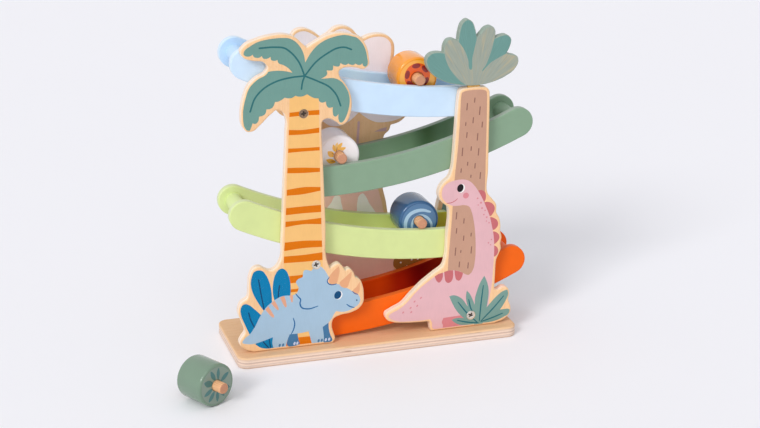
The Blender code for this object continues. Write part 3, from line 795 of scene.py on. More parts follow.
def fan_paint():
    """Fan: brushed paint, with long streaks that run out from the root of the leaves."""
    finish = Finish("fan brushed paint", 0.45, 0.25)
    film = finish.effect(PAINT_FILM)
    laid, plain = finish.ink()
    brushed = plain.ranged(0.55, 0.95, 1.0, 0.0) * 0.4
    x, _, z = finish.place.parts()
    across, rise = x - FAN_ROOT[0], z - FAN_ROOT[1]
    reach = (across * across + rise * rise).maths("POWER", 0.5)
    turn = across.maths("ARCTAN2", rise)
    streak = output(finish.tree, "ShaderNodeCombineXYZ", {0: turn * 12.0, 1: reach * 0.03})
    warm = streak.noise(1.0, 2.0).ranged(0.5, 0.72)
    cool = streak.scaled(1.0, -1.0, 1.0).noise(1.3, 2.0).ranged(0.52, 0.72)
    laid = (warm * brushed).mix(laid, FAN_WARM)
    laid = (cool * brushed).mix(laid, FAN_COOL)
    fine = streak.scaled(6.0, 2.0, 1.0).noise(1.0, 2.0)
    laid = laid.shaded(fine.ranged(0.3, 0.7, 0.94, 1.05))
    return finish.end(laid, film["Peel"].ranged(0.3, 0.7, 0.38, 0.5), fine * 0.7 + film["Peel"], 0.06, 0.45)


def turned_wood(name, light, dark, end_colour, long):
    """Turned peg or spacer: grain along it, and growth rings on its sawn ends."""
    finish = Finish(name, 0.5, 0.35)
    side, grain = veneer(finish, light, dark, TURNED_PORE)
    ends = finish.effect(END_GRAIN)
    sawn = (ends["Rings"] * 0.35).mix(end_colour, np.array(end_colour) * 0.84)
    sawn = (ends["Pores"] * 0.5).mix(sawn, END_PORE)
    at_end = finish.place.parts()[2].maths("ABSOLUTE").ranged(long / 2 - 0.7, long / 2 - 0.15)
    height = grain["Fibre"] - at_end * ends["Pores"]
    return finish.end(at_end.mix(side, sawn), grain["Fibre"].ranged(0.0, 1.0, 0.44, 0.6), height, 0.06, 0.5)


def plated(name, colour, painted_recess_shade):
    """Plated screw steel: fine turning marks round the head, and painted shade down in the recess, which
    grows darker and less metallic with depth.
    """
    finish = Finish(name, 0.34, 0.5, 1.0)
    marks = (finish.place.scaled(1.0, 1.0, 0.0).length() * 40.0).maths("SINE")
    cloud = finish.place.noise(0.7, 3.0)
    tone = cloud.ranged(0.3, 0.7).mix(colour, np.array(colour) * 0.82)
    # Painted shade: the recess is darkened and made less metallic with depth
    deep = finish.place.parts()[2].ranged(0.25, 0.7)
    finish.feed("Metallic", 1.0 - deep * 0.85)
    return finish.end((deep * 0.95).mix(tone, painted_recess_shade), cloud.ranged(0.3, 0.7, 0.28, 0.46), marks, 0.01, 0.3)


# Inks and shapes of the prints, in world x and z on the boards' faces

TEAL = ink(113, 154, 145)
TEAL_RIB = ink(48, 109, 112)
YELLOW = ink(243, 191, 120)
STRIPE = ink(221, 115, 0)
ICE = ink(165, 192, 213)
DENIM = ink(70, 119, 160)
LINE_BLUE = ink(26, 100, 156)
DEEP_BLUE = ink(18, 74, 118)
TOE_PALE = ink(196, 208, 234)
SALMON = ink(226, 165, 136)
HORN = ink(230, 168, 126)
LEAF_BLUE = ink(0, 123, 173)
LEAF_BLUE_RIB = ink(14, 68, 108)
PINK = ink(226, 180, 185)
ROSE = ink(199, 109, 113)
ROSE_SOFT = ink(216, 137, 145)
ROSE_LEG = ink(214, 131, 136)
BARK = ink(197, 153, 130)
BARK_TICK = ink(143, 103, 90)
CLUSTER = ink(121, 156, 147)
CLUSTER_RIB = ink(42, 108, 116)
WHITE = ink(246, 243, 240)
BLACK = ink(34, 28, 32)
CLOUD = ink(249, 236, 237)
MOUNTAIN = ink(252, 206, 193)
SNOW = ink(255, 250, 244)
MAUVE = ink(212, 172, 178)
OCHRE = ink(172, 116, 54)
NOSTRIL = ink(72, 98, 132)

FROND = [
    (-69, 289, 1), (-70, 296), (-73, 303), (-78, 309), (-83, 312), (-90, 313), (-97, 313),
    (-105, 312.3), (-113, 310.5), (-120, 307), (-125, 303), (-125.5, 300), (-123, 298.3),
    (-119.5, 298.3), (-117.3, 299.5, 1), (-116.5, 297.5), (-114, 296.4), (-111, 296.5),
    (-109, 297.8, 1), (-108, 295.5), (-105, 294.8), (-102.5, 295.5), (-101, 296.5, 1), (-100.5, 293.5),
    (-98, 292.5), (-96, 292.6), (-94.8, 293.3, 1), (-94, 290.5), (-89, 287.8), (-85, 285),
    (-81, 280.4, 1), (-88, 282.3), (-97, 283.3), (-105, 282.5), (-112, 280), (-118, 274.5), (-123, 267),
    (-126.5, 256), (-127.7, 244), (-127.3, 236), (-126, 231), (-124, 229), (-122, 229.3), (-120.5, 232),
    (-119, 236, 1), (-116.5, 235.2), (-114, 237), (-112.8, 241.8, 1), (-110, 242.2), (-107, 244),
    (-105.8, 248, 1), (-103, 248), (-100, 249.5), (-97.7, 254.3, 1), (-95, 254.4), (-91.5, 255.8),
    (-88.5, 257.6, 1), (-85, 256.7), (-81.5, 257), (-78.7, 258.7, 1), (-76, 257.7), (-72, 257.6),
    (-67.5, 259.2, 1), (-64.5, 257), (-60.5, 255), (-57, 254.6, 1), (-56, 251.5), (-53.5, 250.2),
    (-50, 251, 1), (-49.5, 247.5), (-47.5, 245), (-43.5, 245.2, 1), (-43.5, 240), (-42.3, 236.5),
    (-40.7, 236), (-38.2, 238.3, 1), (-38.2, 233.5), (-37, 230.5), (-35.5, 229.8), (-33.5, 231),
    (-30.5, 236), (-28, 244), (-27.3, 252), (-28.5, 258), (-31, 263.5), (-35, 268.5), (-39, 271.3),
    (-44, 272.7), (-50, 272.7), (-54.3, 272.9, 1), (-50.5, 274.5), (-48.5, 276.5), (-49, 280.2, 1),
    (-46.5, 279.8), (-43.5, 280), (-42.8, 284.2, 1), (-40.5, 283.3), (-37, 283.3), (-35.8, 286, 1),
    (-33, 284.3), (-30.5, 284), (-28.5, 285, 1), (-26, 283.7), (-23.5, 283.5), (-21.5, 284.5, 1),
    (-19, 283), (-17, 283), (-15.2, 284.3, 1), (-14.3, 282), (-12.5, 281), (-11, 281.3), (-10, 283.5),
    (-10.5, 290), (-12, 297), (-15, 303), (-20, 308.5), (-26, 311.5), (-33, 312), (-42, 310.8),
    (-50, 308.3), (-58, 303.5), (-64, 297),
]
FROND_RIBS = [
    [(-69.7, 276.5), (-75, 290), (-82, 299), (-88, 303.5), (-97, 305), (-111, 305)],
    [(-69.7, 276.5), (-58, 289.5), (-48, 296), (-38, 300.3), (-31, 300.3), (-25.5, 298)],
    [(-69.7, 276.5), (-82, 276), (-97, 273), (-108, 267.5), (-116, 259.5), (-121, 247)],
    [(-69.7, 276.5), (-57, 270.5), (-46, 264), (-40, 256.5), (-36, 246)],
    [(-69.7, 276.5), (-72, 270), (-72.8, 264.5)],
]
PALM_TRUNK = [
    (-57, 262, 1), (-84, 262, 1), (-85.3, 227), (-86.5, 207), (-88, 180), (-89.7, 148), (-91, 125),
    (-92.5, 100), (-93, 60), (-92.5, 13.6, 1), (-55, 13.6, 1), (-54.5, 60), (-54.8, 98), (-55.2, 115),
    (-55.8, 135), (-56, 165), (-56.3, 190), (-56.5, 225),
]
# Left, middle and right of each stripe, top edge and then bottom edge
PALM_STRIPES = [
    ((-84.5, 243.2), (-70, 243.7), (-56.2, 243.6), (-56.2, 239), (-70, 239.4), (-84.7, 239.2)),
    ((-85.3, 227), (-74, 226), (-56.5, 226.8), (-56.5, 222), (-74, 221.6), (-85.6, 222)),
    ((-86.2, 209.3), (-74, 208.8), (-56.4, 208.3), (-56.4, 205), (-74, 205.3), (-86.5, 205.2)),
    ((-87.3, 190.8), (-74, 190), (-56.3, 188.1), (-56.3, 184.3), (-74, 184.7), (-87.6, 185.7)),
    ((-88.2, 169.8), (-71, 170.9), (-56, 169.5), (-56, 166), (-74, 164), (-88.5, 164.1)),
    ((-89.3, 152), (-72, 152.2), (-55.8, 152), (-55.7, 145), (-72, 145.4), (-89.7, 145.2)),
    ((-90.1, 138.8), (-72, 138.8), (-55.6, 139.2), (-55.6, 133), (-74, 134.6), (-90.3, 133.4)),
    ((-91.2, 118.4), (-72, 118.3), (-55.2, 116.7), (-55.1, 110.3), (-72, 111), (-91.9, 110)),
    ((-92.2, 104.6), (-72, 104.3), (-54.9, 105), (-54.8, 97.2), (-72, 97.3), (-92.5, 98)),
    ((-92.6, 84.6), (-80, 84.4), (-66, 84.8), (-66, 77), (-80, 77.2), (-92.8, 77)),
    ((-92.8, 71.2), (-84, 71), (-74, 71.2), (-74, 67.8), (-84, 68), (-92.9, 67.8)),
    ((-92.5, 21), (-78, 21.2), (-64, 21), (-64, 13.8), (-78, 13.8), (-92.4, 13.8)),
]
HORNED_BODY = [
    (-134, 22.5), (-132, 26), (-127, 30), (-122, 36.5), (-117, 46), (-112.5, 53), (-107, 58.5),
    (-101, 62.5), (-97, 64.5), (-92, 65.3), (-85, 65), (-81, 66), (-78.3, 71.5, 1), (-80.8, 78.5),
    (-79.5, 80), (-74.5, 82, 1), (-73, 88.5), (-71.5, 89), (-66, 87.3, 1), (-62, 91.5), (-57, 91),
    (-54, 88), (-49, 79.5, 1), (-50.5, 75), (-48.5, 72), (-44.5, 71), (-42, 71.3), (-38, 70.5),
    (-32, 66.5), (-27, 63), (-25.5, 61), (-20.5, 58.5), (-19, 56.5), (-18, 52), (-19.5, 48.5),
    (-22, 46.3), (-25, 45), (-27, 43.8), (-31, 42.5), (-36, 42.3), (-42, 43.7, 1), (-43.5, 42),
    (-46, 37.5), (-49, 33.5), (-55.5, 29, 1), (-54.5, 17), (-55, 13.5, 1), (-66.5, 13.5, 1), (-68, 20),
    (-69.5, 26.3, 1), (-80, 25.3), (-88, 25.5, 1), (-91, 18), (-92, 13.5, 1), (-104, 13.5, 1),
    (-105, 17), (-104.5, 24.5, 1), (-109, 23.2), (-115, 21.5), (-123, 20), (-130, 20.7),
]
HORNED_FAR_LEGS = [
    [(-87.5, 27, 1), (-80.5, 26.5, 1), (-79.5, 18.5), (-78.5, 14), (-80, 13.5), (-90, 13.5),
     (-91, 15.5), (-90.5, 19)],
    [(-56, 30, 1), (-49.6, 34, 1), (-49.5, 27), (-48, 20), (-46, 14.5), (-46.5, 13.5), (-55, 13.5),
     (-55, 17)],
]
HORNS = [
    [(-49, 78), (-45, 84), (-38.8, 89.3, 1), (-38.3, 85), (-39.5, 78), (-42, 71.8), (-47, 71.7)],
    [(-38.5, 71.2), (-33, 77), (-26.5, 82.5, 1), (-26.5, 79), (-28.5, 72.5), (-31.5, 66.6)],
    [(-25.5, 62), (-21.5, 66.5), (-18.5, 71, 1), (-18.3, 66), (-19.5, 60), (-21, 58.4)],
]
BACK_STRIPES = [
    [(-111.3, 53.4, 1), (-108.3, 56.6, 1), (-104.5, 49.5), (-102.8, 45.5), (-103.3, 44.3),
     (-105, 45.2)],
    [(-105.5, 59.2, 1), (-102, 61.6, 1), (-99, 55), (-98.2, 52), (-98.9, 51.4), (-100.4, 52.6)],
    [(-97, 64.2, 1), (-92.6, 65.1, 1), (-90.8, 58), (-90.6, 54), (-91.3, 53.2), (-92.7, 54.8)],
    [(-87.7, 65, 1), (-84.2, 65, 1), (-84.4, 60), (-84.9, 57.8), (-85.6, 57.7), (-86.2, 59.5)],
]
# Drawn lines, each with its width
HORNED_LINES = [
    ([(-48.6, 79), (-50.5, 75), (-48.5, 72), (-44.5, 71), (-41.5, 71.6)], 1.1),
    ([(-26, 62.3), (-23, 59.5), (-20.2, 58.3)], 1.0),
    ([(-81.5, 66), (-79, 62.5), (-76.8, 59.5), (-77.5, 56), (-76, 51.5), (-70, 49.3), (-60, 51)], 1.35),
    ([(-84.3, 41.5), (-83, 36), (-84, 30.5), (-86.5, 25.5)], 1.25),
    ([(-31.5, 49.5), (-28.5, 47), (-24, 45.3)], 1.2),
]
# Leaves: the blade and its rib
BLUE_LEAVES = [
    ([(-127, 30, 1), (-131, 40), (-134.5, 50), (-135, 56), (-133.5, 60), (-130.5, 61.3), (-127, 60),
      (-122, 55.5), (-115, 48, 1), (-118, 40)], [(-127.3, 52), (-125.5, 44.5), (-122, 36.5)]),
    ([(-110, 48, 1), (-119, 63), (-123, 72), (-124.5, 80), (-124, 87), (-121.5, 92), (-118, 93.5),
      (-113.5, 92.7), (-109.5, 87.5), (-106.5, 80), (-105, 72), (-104.5, 60, 1)],
     [(-117, 84), (-115.5, 73), (-112.3, 53)]),
    ([(-102, 60, 1), (-103.7, 70), (-103.3, 78), (-101.5, 86), (-98, 91.5), (-94.5, 93), (-91, 91),
      (-88, 85), (-86.5, 77), (-86.3, 70), (-87, 62, 1)], [(-97, 76), (-98, 70), (-98.5, 64)]),
    ([(-122, 19.7, 1), (-115, 22), (-102, 25.5, 1), (-102, 13.6, 1), (-111, 13.6), (-117, 15.5)],
     [(-114, 21), (-111.5, 17.5), (-109, 14.4)]),
]
# Toes: x, z, and whether one is pale
HORNED_TOES = [
    (-98, 15.3, 0), (-94.7, 15.3, 0), (-59.7, 15.3, 0), (-56.6, 15.5, 0), (-83.5, 15.4, 1),
    (-80.7, 15.4, 1), (-52.6, 15.5, 1), (-49.2, 15.6, 1),
]

BARK_TRUNK = [
    (82.5, 249.3), (86, 250.4), (103, 250.4), (106.4, 249), (107.2, 245.5), (107.2, 140, 1),
    (101.5, 62, 1), (70.4, 70, 1), (70.5, 74), (71, 85), (72.5, 105), (74, 127), (74.5, 137.5),
    (76, 163.5), (76.5, 170), (78.5, 190), (80.5, 220), (81.5, 245),
]
# Short dashes of the bark: x, lowest z, highest z
BARK_DASHES = [
    (95, 238.5, 243.5), (87.5, 231.5, 238.8), (100.3, 226, 234.5), (93.8, 218.5, 224.5),
    (86.4, 216.5, 220.3), (103, 213.5, 219.5), (87.7, 204.5, 210.5), (98.5, 201, 208.5),
    (92.3, 191.5, 196), (83.5, 187, 195.5), (99.8, 186, 193.5), (89, 177, 181), (96.5, 173.5, 179),
    (82.5, 170.5, 175), (92.5, 164.6, 167.8), (102, 162.5, 169.5), (78.5, 124, 131.5),
    (86.2, 119, 124.5), (78.8, 109.5, 115.3), (86.2, 101.5, 107), (93.8, 105, 109), (78, 87, 95.5),
    (83.5, 89.3, 92.3), (94.3, 87.5, 95), (82.2, 74.5, 80.7), (91.2, 72.3, 78.8),
]
LONG_NECK = [
    (63.5, 152), (64.5, 157), (68, 160.7), (72, 162.5), (77, 163.5), (83, 163.8), (88, 163), (93, 160),
    (97, 155.5), (101, 149.5), (105, 142), (108.5, 134), (112.5, 124), (115, 114), (117, 104),
    (117.8, 95), (117.8, 80), (117, 65), (116.5, 55), (115.5, 48), (114, 38), (114, 13.4, 1),
    (56.5, 13.3), (55.3, 14.5), (54.8, 20), (53, 24, 1), (45, 23.7), (30, 24.3), (22, 25), (16, 27),
    (12, 29.5), (10.5, 31.8), (11, 33), (14, 35), (20, 37.5), (26, 41.5), (31, 46), (37, 52.5),
    (43, 58), (50, 63), (57, 67.5), (66, 71), (70, 72.3), (76, 72.3), (84, 69.7), (89, 66.5),
    (92, 65.7), (94, 67), (96.5, 71), (98.3, 80), (98.7, 95), (97.8, 110), (96, 122), (94, 130),
    (91, 136), (86.5, 137.8), (80, 137.8), (74.5, 138.3), (70, 140.5), (66.5, 143.5), (64, 147.5),
]
LONG_NECK_FAR_LEG = [
    (66, 13.4, 1), (66, 16.5), (65, 18.5), (66.5, 23.6, 1), (90, 24.4, 1), (90, 13.4, 1),
]
BACK_PLATES = [
    [(100, 151), (104.5, 151), (107.5, 148.5), (108.3, 144.5), (106.6, 139.7), (103, 143)],
    [(107, 138.5), (112, 138.3), (116, 135.5), (117.7, 131.5), (116.5, 127.5), (113, 124),
     (109.5, 131)],
    [(112.6, 122.8), (117, 121.7), (120.3, 119), (121.5, 115.5), (120, 111.5), (116, 109.5),
     (114, 116)],
    [(115.8, 107.8), (120, 106.7), (122.8, 103.5), (123.2, 101), (121, 97), (117.4, 94.8),
     (116.5, 101)],
    [(117.4, 93.3), (120.7, 91.5), (122.2, 87.5), (121.2, 84), (117.4, 81.8), (117, 87)],
]
BACK_DROPS = [
    [(57, 67.9, 1), (61, 70), (65.3, 71, 1), (65.5, 67), (64, 63), (61.5, 61), (59.5, 62.5)],
    [(66.8, 71.6, 1), (71.5, 72.5), (75.9, 72.2, 1), (76, 66), (74.3, 61), (71, 59.6), (68.5, 61.5),
     (67.3, 66)],
    [(77.3, 72.1, 1), (82, 70.5), (86.2, 68.4, 1), (85, 64), (82, 60.8), (79.5, 62), (78, 66)],
]
# Spots: x, z, radius
NECK_SPOTS = [
    (99.8, 143.3, 0.9), (103.3, 138.6, 1.1), (100.5, 136.5, 0.7), (104.5, 133, 0.95),
    (107.7, 130.3, 0.8), (106.5, 126.2, 0.8), (109.5, 123.3, 0.9), (109.3, 119.3, 0.65),
    (112, 117.3, 0.8), (114.8, 99.8, 0.75), (111.8, 96.7, 0.8), (114.2, 94.5, 0.7),
]
TAIL_SPOTS = [(25.2, 34.2), (33.5, 33.7), (32.8, 38.2), (39.5, 39.5), (36.8, 44.3), (43.2, 47.3)]
# Leaves at the trunk's foot: the blade and its rib
LEAF_CLUSTER = [
    ([(72.3, 45.5, 1), (76, 46.3), (80, 45.2), (85.5, 41.5), (89.5, 36), (96, 25), (103.5, 13.8, 1),
      (96, 15), (90, 19), (84.5, 24), (79.5, 30.5), (75, 39)], [(81.5, 38.5), (90, 27), (102, 14.5)]),
    ([(90.4, 49.4, 1), (92.3, 47.5), (95.5, 42), (98.5, 34.5), (102, 22), (101, 16, 1), (94, 25),
      (91, 35), (90, 39), (89.7, 45)], [(92.5, 40), (95, 30), (97, 26)]),
    ([(108.3, 63, 1), (111, 57), (113, 49), (113.2, 42), (112.5, 36), (111.5, 30), (107, 18),
      (103.5, 13.8, 1), (99.5, 25), (98.8, 34), (99, 40), (101, 48), (104.5, 57)],
     [(107.5, 53), (105.5, 35), (104, 16)]),
    ([(134, 46, 1), (134.7, 44), (133.5, 39.5), (130, 32), (125.5, 25.5), (116, 18), (103.5, 13.8, 1),
      (106, 21), (111.5, 29.5), (116, 34.5), (122, 40.5), (129, 45)],
     [(129, 39.5), (119.5, 29), (105.5, 15.5)]),
    ([(136.3, 23.8), (134, 25.3), (130, 25.5), (125.5, 25.3), (115, 21), (103.5, 14.2, 1), (112, 13.4),
      (121, 14.3), (129, 17), (135, 20.5)], [(128.5, 21.3), (118, 18), (106, 15)]),
    ([(75, 20.4, 1), (79, 21.7), (86, 21.2), (96, 17), (103.5, 13.9, 1), (97, 13.4), (90, 13.4),
      (83, 14.5), (78, 17.5)], [(81, 19.3), (90, 16.5), (103, 14)]),
]

CLOUD_SHAPE = [
    (46, 211), (50, 222), (51.5, 232), (50.5, 247), (45, 257.5), (32.2, 264.8, 1), (33.8, 277),
    (33.2, 284.8), (29.3, 289.6), (21.5, 292), (13, 291.2), (5.8, 288.4, 1), (-1.5, 293.6), (-8, 299.6),
    (-14, 302), (-20, 301), (-26.5, 296.5), (-34.4, 291.2, 1), (-44.5, 299), (-52, 302.1),
    (-59.5, 300.5), (-64.5, 294.8), (-72.5, 290.4), (-78, 283), (-79.5, 272.5), (-75.3, 261.5, 1),
    (-79.5, 251.5), (-80, 239.5), (-75, 228.5), (-64, 220), (-57, 212.5), (-48, 208.5), (-40, 210),
    (-35, 213, 1), (-28, 208), (-18, 207), (-8, 211), (1.5, 219, 1), (10, 212), (18, 208), (30, 207),
    (40, 208.5),
]
MOUNTAIN_SHAPE = [
    (-57, 166, 1), (-44, 169), (-30, 165), (-14, 169), (2, 165), (19.5, 167, 1), (20.5, 141),
    (24.5, 125), (27, 112), (31.5, 95), (40.5, 79), (38, 66), (36.5, 60), (38, 52), (44, 44), (58, 40),
    (73.5, 42), (74, 15.5, 1), (-86.5, 15.5, 1), (-85, 32), (-74, 64), (-65.5, 94), (-62.5, 125),
]
PEAKS = [
    [(-38, 112, 1), (-33, 123), (-27, 130), (-22.5, 136.5), (-19, 136), (-17, 129), (-15, 120),
     (-13, 108, 1), (-18, 102), (-24, 107), (-30, 101)],
    [(-1, 104, 1), (-1, 117), (-0.5, 128), (2, 135), (5, 136.3), (8, 133), (12, 125), (17, 117.5),
     (23, 106, 1), (17, 100), (11, 106), (5, 99)],
]
# Dashes of ash: x, lowest z, highest z
ASH_DASHES = [(0.5, 186, 210), (-22, 184, 200), (-44, 188, 204), (-34, 172, 182), (12, 172, 184)]
ASH_WEDGE = [(17, 198.2, 1), (23, 200.4), (29.6, 201.7, 1), (29, 199.8), (29.3, 197.7, 1), (23, 197.9)]
FOOT_BUSH = [
    (40.5, 79, 1), (38.6, 73), (39.8, 67.5), (37, 62.5), (36.8, 57), (39.5, 53.5), (42, 45), (58, 39.5),
    (74.6, 41, 1), (75.5, 50), (74.3, 58.5), (70.3, 63.8), (59, 68.6), (47.5, 76),
]
FOOT_DOTS = [(44.5, 59.5), (56, 61.5), (62.5, 61.5), (51, 55), (48, 66)]
SHRUB_SHAPE = [
    (86, 15.5, 1), (86, 56), (86.4, 96), (87, 110), (88.5, 117.5), (92, 125.5), (97.5, 131.5),
    (104.5, 134.5), (112, 133.5), (118, 128), (122, 119), (124, 106), (123, 92), (126, 73), (126.5, 51),
    (126, 15.5, 1),
]
SHRUB_RIB = [(105.5, 20), (105, 70), (105.5, 122)]
LEAF_STEM = [(-108, 22.5), (-107.5, 18), (-107, 14.4)]
LONG_NECK_MOUTH = [(68.5, 141.3), (72, 141.3), (76, 142.5), (79.3, 145)]
CLUSTER_HEART = [(98, 13.5), (96.5, 20), (102.5, 27), (109, 20), (108, 13.5)]

# Eyes, nostril and cheek: x, z, half axes, turn and count of points, and the ink
HORNED_FACE = [
    ((-39.5, 59.7, 3.7, 4.4, -24), WHITE), ((-40.3, 60, 3.4, 4.15, -24), DEEP_BLUE),
    ((-21.5, 52.5, 0.75, 1.1, 15, 16), NOSTRIL),
]
LONG_NECK_FACE = [
    ((82.9, 155, 3.75, 4.4, -14), WHITE), ((82, 155.3, 3.2, 4.05, -16), BLACK),
    ((87.8, 147.3, 3.0, 3.0), ROSE_SOFT),
]


def filled(colour, outlines, reach=1.6):
    """Smooth outlines filled with one ink."""
    return [(smooth(outline, reach), colour) for outline in outlines]


def lined(colour, paths, width, blunt=1.0):
    """Smooth paths drawn as lines of one ink."""
    return [(stroke(path, width, blunt), colour) for path in paths]


def dotted(colour, spots, wide, high, turn=0.0, count=16):
    """Equal small ovals of one ink."""
    return [(oval(x, z, wide, high, turn, count), colour) for x, z in spots]


def dashed(colour, dashes, width):
    """Short dashes of one ink, each x, lowest z and highest z, leaning a little, with round ends."""
    shapes = []
    for x, low, high in dashes:
        lean = 0.03 * (high - low)
        path = [(x - lean, low + width / 2), (x + lean, high - width / 2)]
        shapes += lined(colour, [path], width)
    return shapes


def palm_print():
    """Palm over a three-horned dinosaur: trunk and stripes, fronds, leaves, then the animal."""
    stripes = [[spot if i in (1, 4) else (*spot, 1) for i, spot in enumerate(stripe)]
               for stripe in PALM_STRIPES]
    shapes = filled(YELLOW, [PALM_TRUNK]) + filled(STRIPE, stripes)
    shapes += filled(TEAL, [FROND], 0.8) + lined(TEAL_RIB, FROND_RIBS, 1.6)
    for blade, rib in BLUE_LEAVES:
        shapes += filled(LEAF_BLUE, [blade]) + lined(LEAF_BLUE_RIB, [rib], 1.2)
    shapes += lined(LEAF_BLUE_RIB, [LEAF_STEM], 1.0)
    shapes += filled(DENIM, HORNED_FAR_LEGS) + filled(ICE, [HORNED_BODY], 1.0)
    shapes += filled(SALMON, BACK_STRIPES, 0.9) + filled(HORN, HORNS, 1.0)
    for line, width in HORNED_LINES:
        shapes += lined(LINE_BLUE, [line], width, 0.55)
    for x, z, pale in HORNED_TOES:
        shapes += dotted(TOE_PALE if pale else DENIM, [(x, z)], 1.05, 1.7, -18, 18)
    return shapes + [(oval(*sizes), colour) for sizes, colour in HORNED_FACE]


def trunk_print():
    """Bark with dashes, then the long-necked dinosaur, then a cluster of leaves at its feet."""
    shapes = filled(BARK, [BARK_TRUNK]) + dashed(BARK_TICK, BARK_DASHES, 1.15)
    shapes += filled(ROSE, BACK_PLATES, 1.0) + filled(PINK, [LONG_NECK], 1.0)
    shapes += filled(ROSE_LEG, [LONG_NECK_FAR_LEG]) + filled(ROSE, BACK_DROPS, 0.9)
    for x, z, radius in NECK_SPOTS:
        shapes += dotted(ROSE_SOFT, [(x, z)], radius, radius)
    shapes += dotted(ROSE_SOFT, TAIL_SPOTS, 1.3, 0.8, 45)
    shapes += [(oval(*sizes), colour) for sizes, colour in LONG_NECK_FACE]
    shapes += lined(ROSE, [LONG_NECK_MOUTH], 0.9, 0.6) + filled(CLUSTER, [CLUSTER_HEART])
    blades, ribs = zip(*LEAF_CLUSTER)
    return shapes + filled(CLUSTER, blades) + lined(CLUSTER_RIB, ribs, 1.45, 0.6)


def volcano_print():
    """Mountain with pale peaks, ash over the crater, a dotted bush at the foot, and the cloud."""
    shapes = filled(MOUNTAIN, [MOUNTAIN_SHAPE]) + filled(SNOW, PEAKS)
    shapes += dashed(MAUVE, ASH_DASHES, 2.3) + filled(MAUVE, [ASH_WEDGE])
    shapes += filled(OCHRE, [FOOT_BUSH]) + dotted(SNOW, FOOT_DOTS, 1.1, 0.95)
    return shapes + filled(CLOUD, [CLOUD_SHAPE])


def shrub_print():
    """Shrub with a rib and pairs of side ribs, which get shorter to the top."""
    shapes = filled(CLUSTER, [SHRUB_SHAPE]) + lined(CLUSTER_RIB, [SHRUB_RIB], 1.8, 0.5)
    for k in range(5):
        z, reach = 30 + 17 * k, 14 - 0.8 * k
        left = [(103.5, z), (105 - reach * 0.6, z + 7), (105 - reach, z + 12)]
        right = [(107, z + 8), (105 + reach * 0.6, z + 15), (105 + reach, z + 20)]
        shapes += lined(CLUSTER_RIB, [left, right], 1.2, 0.6)
    return shapes


# Pieces

def raised(outline, foot):
    """Outline marks lifted by the height of their foot."""
    return [(mark[0], mark[1] + foot, *mark[2:]) for mark in outline]


def add_base():
    """Base: a rectangle with round corners, eased all round, with screw holes from below."""
    quarter = np.linspace(0, math.pi / 2, 12)
    arc = np.stack((np.cos(quarter), np.sin(quarter)), 1) * BASE_CORNER
    corner = np.array(BASE_SIZE[:2]) / 2 - BASE_CORNER
    outline = []
    for side, sign in enumerate(((1, 1), (-1, 1), (-1, -1), (1, -1))):
        a = side * math.pi / 2
        turn = np.array(((math.cos(a), math.sin(a)), (-math.sin(a), math.cos(a))))
        outline.append(arc @ turn + corner * sign)
    holes = [spot for pair in BASE_SCREWS.values() for spot in pair]
    high = BASE_SIZE[2]
    shell = solid(np.concatenate(outline), high, BASE_EASE, lying(high), pockets=((), holes))
    finish = plywood("base plywood", BASE_PLIES, high, *BASE_VENEER)
    show(shell, "base", "frame", "base_wood", finish, "base_board")


def add_boards():
    """Four printed boards with their screw holes."""
    finish = plywood("printed plywood", BOARD_PLIES, BOARD_THICKNESS, *BOARD_VENEER, True)
    rows = (
        ("palm", PALM_OUTLINE, FRONT_FACE, palm_print(), ("upper", "middle")),
        ("trunk", TRUNK_OUTLINE, FRONT_FACE, trunk_print(), ("lower",)),
        ("volcano", VOLCANO_OUTLINE, BACK_FACE, volcano_print(), ("upper", "middle")),
        ("shrub", SHRUB_OUTLINE, BACK_FACE, shrub_print(), ("lower",)),
    )
    for name, outline, face, shapes, screws in rows:
        holes = [SPACERS[key] for key in screws]
        shell = solid(smooth(raised(outline, BOARD_FOOT)), BOARD_THICKNESS, BOARD_EASE, upright(face),
                      shapes, (holes, ()) if face == FRONT_FACE else ((), holes))
        show(shell, name + "_picture", "frame", name + "_print", finish, name + "_board")


# Fan: marks at its foot and in its notches, and teal petals, each from one of them to another
FAN_TEAL = ink(107, 150, 143)
FAN_GREY = ink(156, 163, 150, 0.5)
FAN_EDGE = ink(146, 162, 149)
FAN_NOTCHES = [(86, 0.6), (64, 33.5), (78, 43.9), (96.6, 45.7), (114.4, 44), (126.3, 28.6)]
FAN_PETALS = [
    (1, 0, [(66, 282), (70, 273), (76, 265), (82, 259)]),
    (3, 2, [(94.4, 291), (92.3, 282), (90.3, 270.5), (88.3, 279), (84, 290), (80, 295.8)]),
    (5, 4, [(118.5, 280), (111, 276), (102.3, 268.8), (106, 274), (109, 281.5), (112, 290.5)]),
]


def add_fan():
    """Fan of six leaves: three petals lie in teal between grey ones, painted round the edges too."""
    outline = counterclockwise(smooth(raised(FAN_OUTLINE, FAN_FOOT)))
    inner = outline - outward(outline) * FAN_EASE
    notches = [np.argmin(np.hypot(*(outline - spot).T)) for spot in raised(FAN_NOTCHES, FAN_FOOT)]
    shapes = []
    for first, last, marks in FAN_PETALS:
        start, stop = notches[first], notches[last]
        count = (stop - start) % len(outline)
        arc = (start + np.arange(count + 1)) % len(outline)
        ends = [tuple(inner[stop])] + marks[::-1] + [tuple(inner[start])]
        shapes.append((np.vstack((inner[arc], smooth(ends, closed=False)[1:-1])), FAN_TEAL))
    shell = solid(outline, FAN_THICKNESS, FAN_EASE, upright(FAN_FACE), shapes,
                  ground=FAN_GREY, rim=FAN_EDGE)
    show(shell, "fan", "frame", "fan_paint", fan_paint(), "leaf_fan")
    (left, right), (low, high) = TENON_X, TENON_Z
    tenon = np.array(((left, low), (right, low), (right, high), (left, high)))
    shell = solid(tenon, TENON_THICKNESS, TENON_EASE, upright(TENON_FACE))
    finish = plywood("tenon wood", TENON_PLIES, TENON_THICKNESS, *TENON_VENEER)
    show(shell, "tenon", "frame", "raw_wood", finish, "fan_tenon")
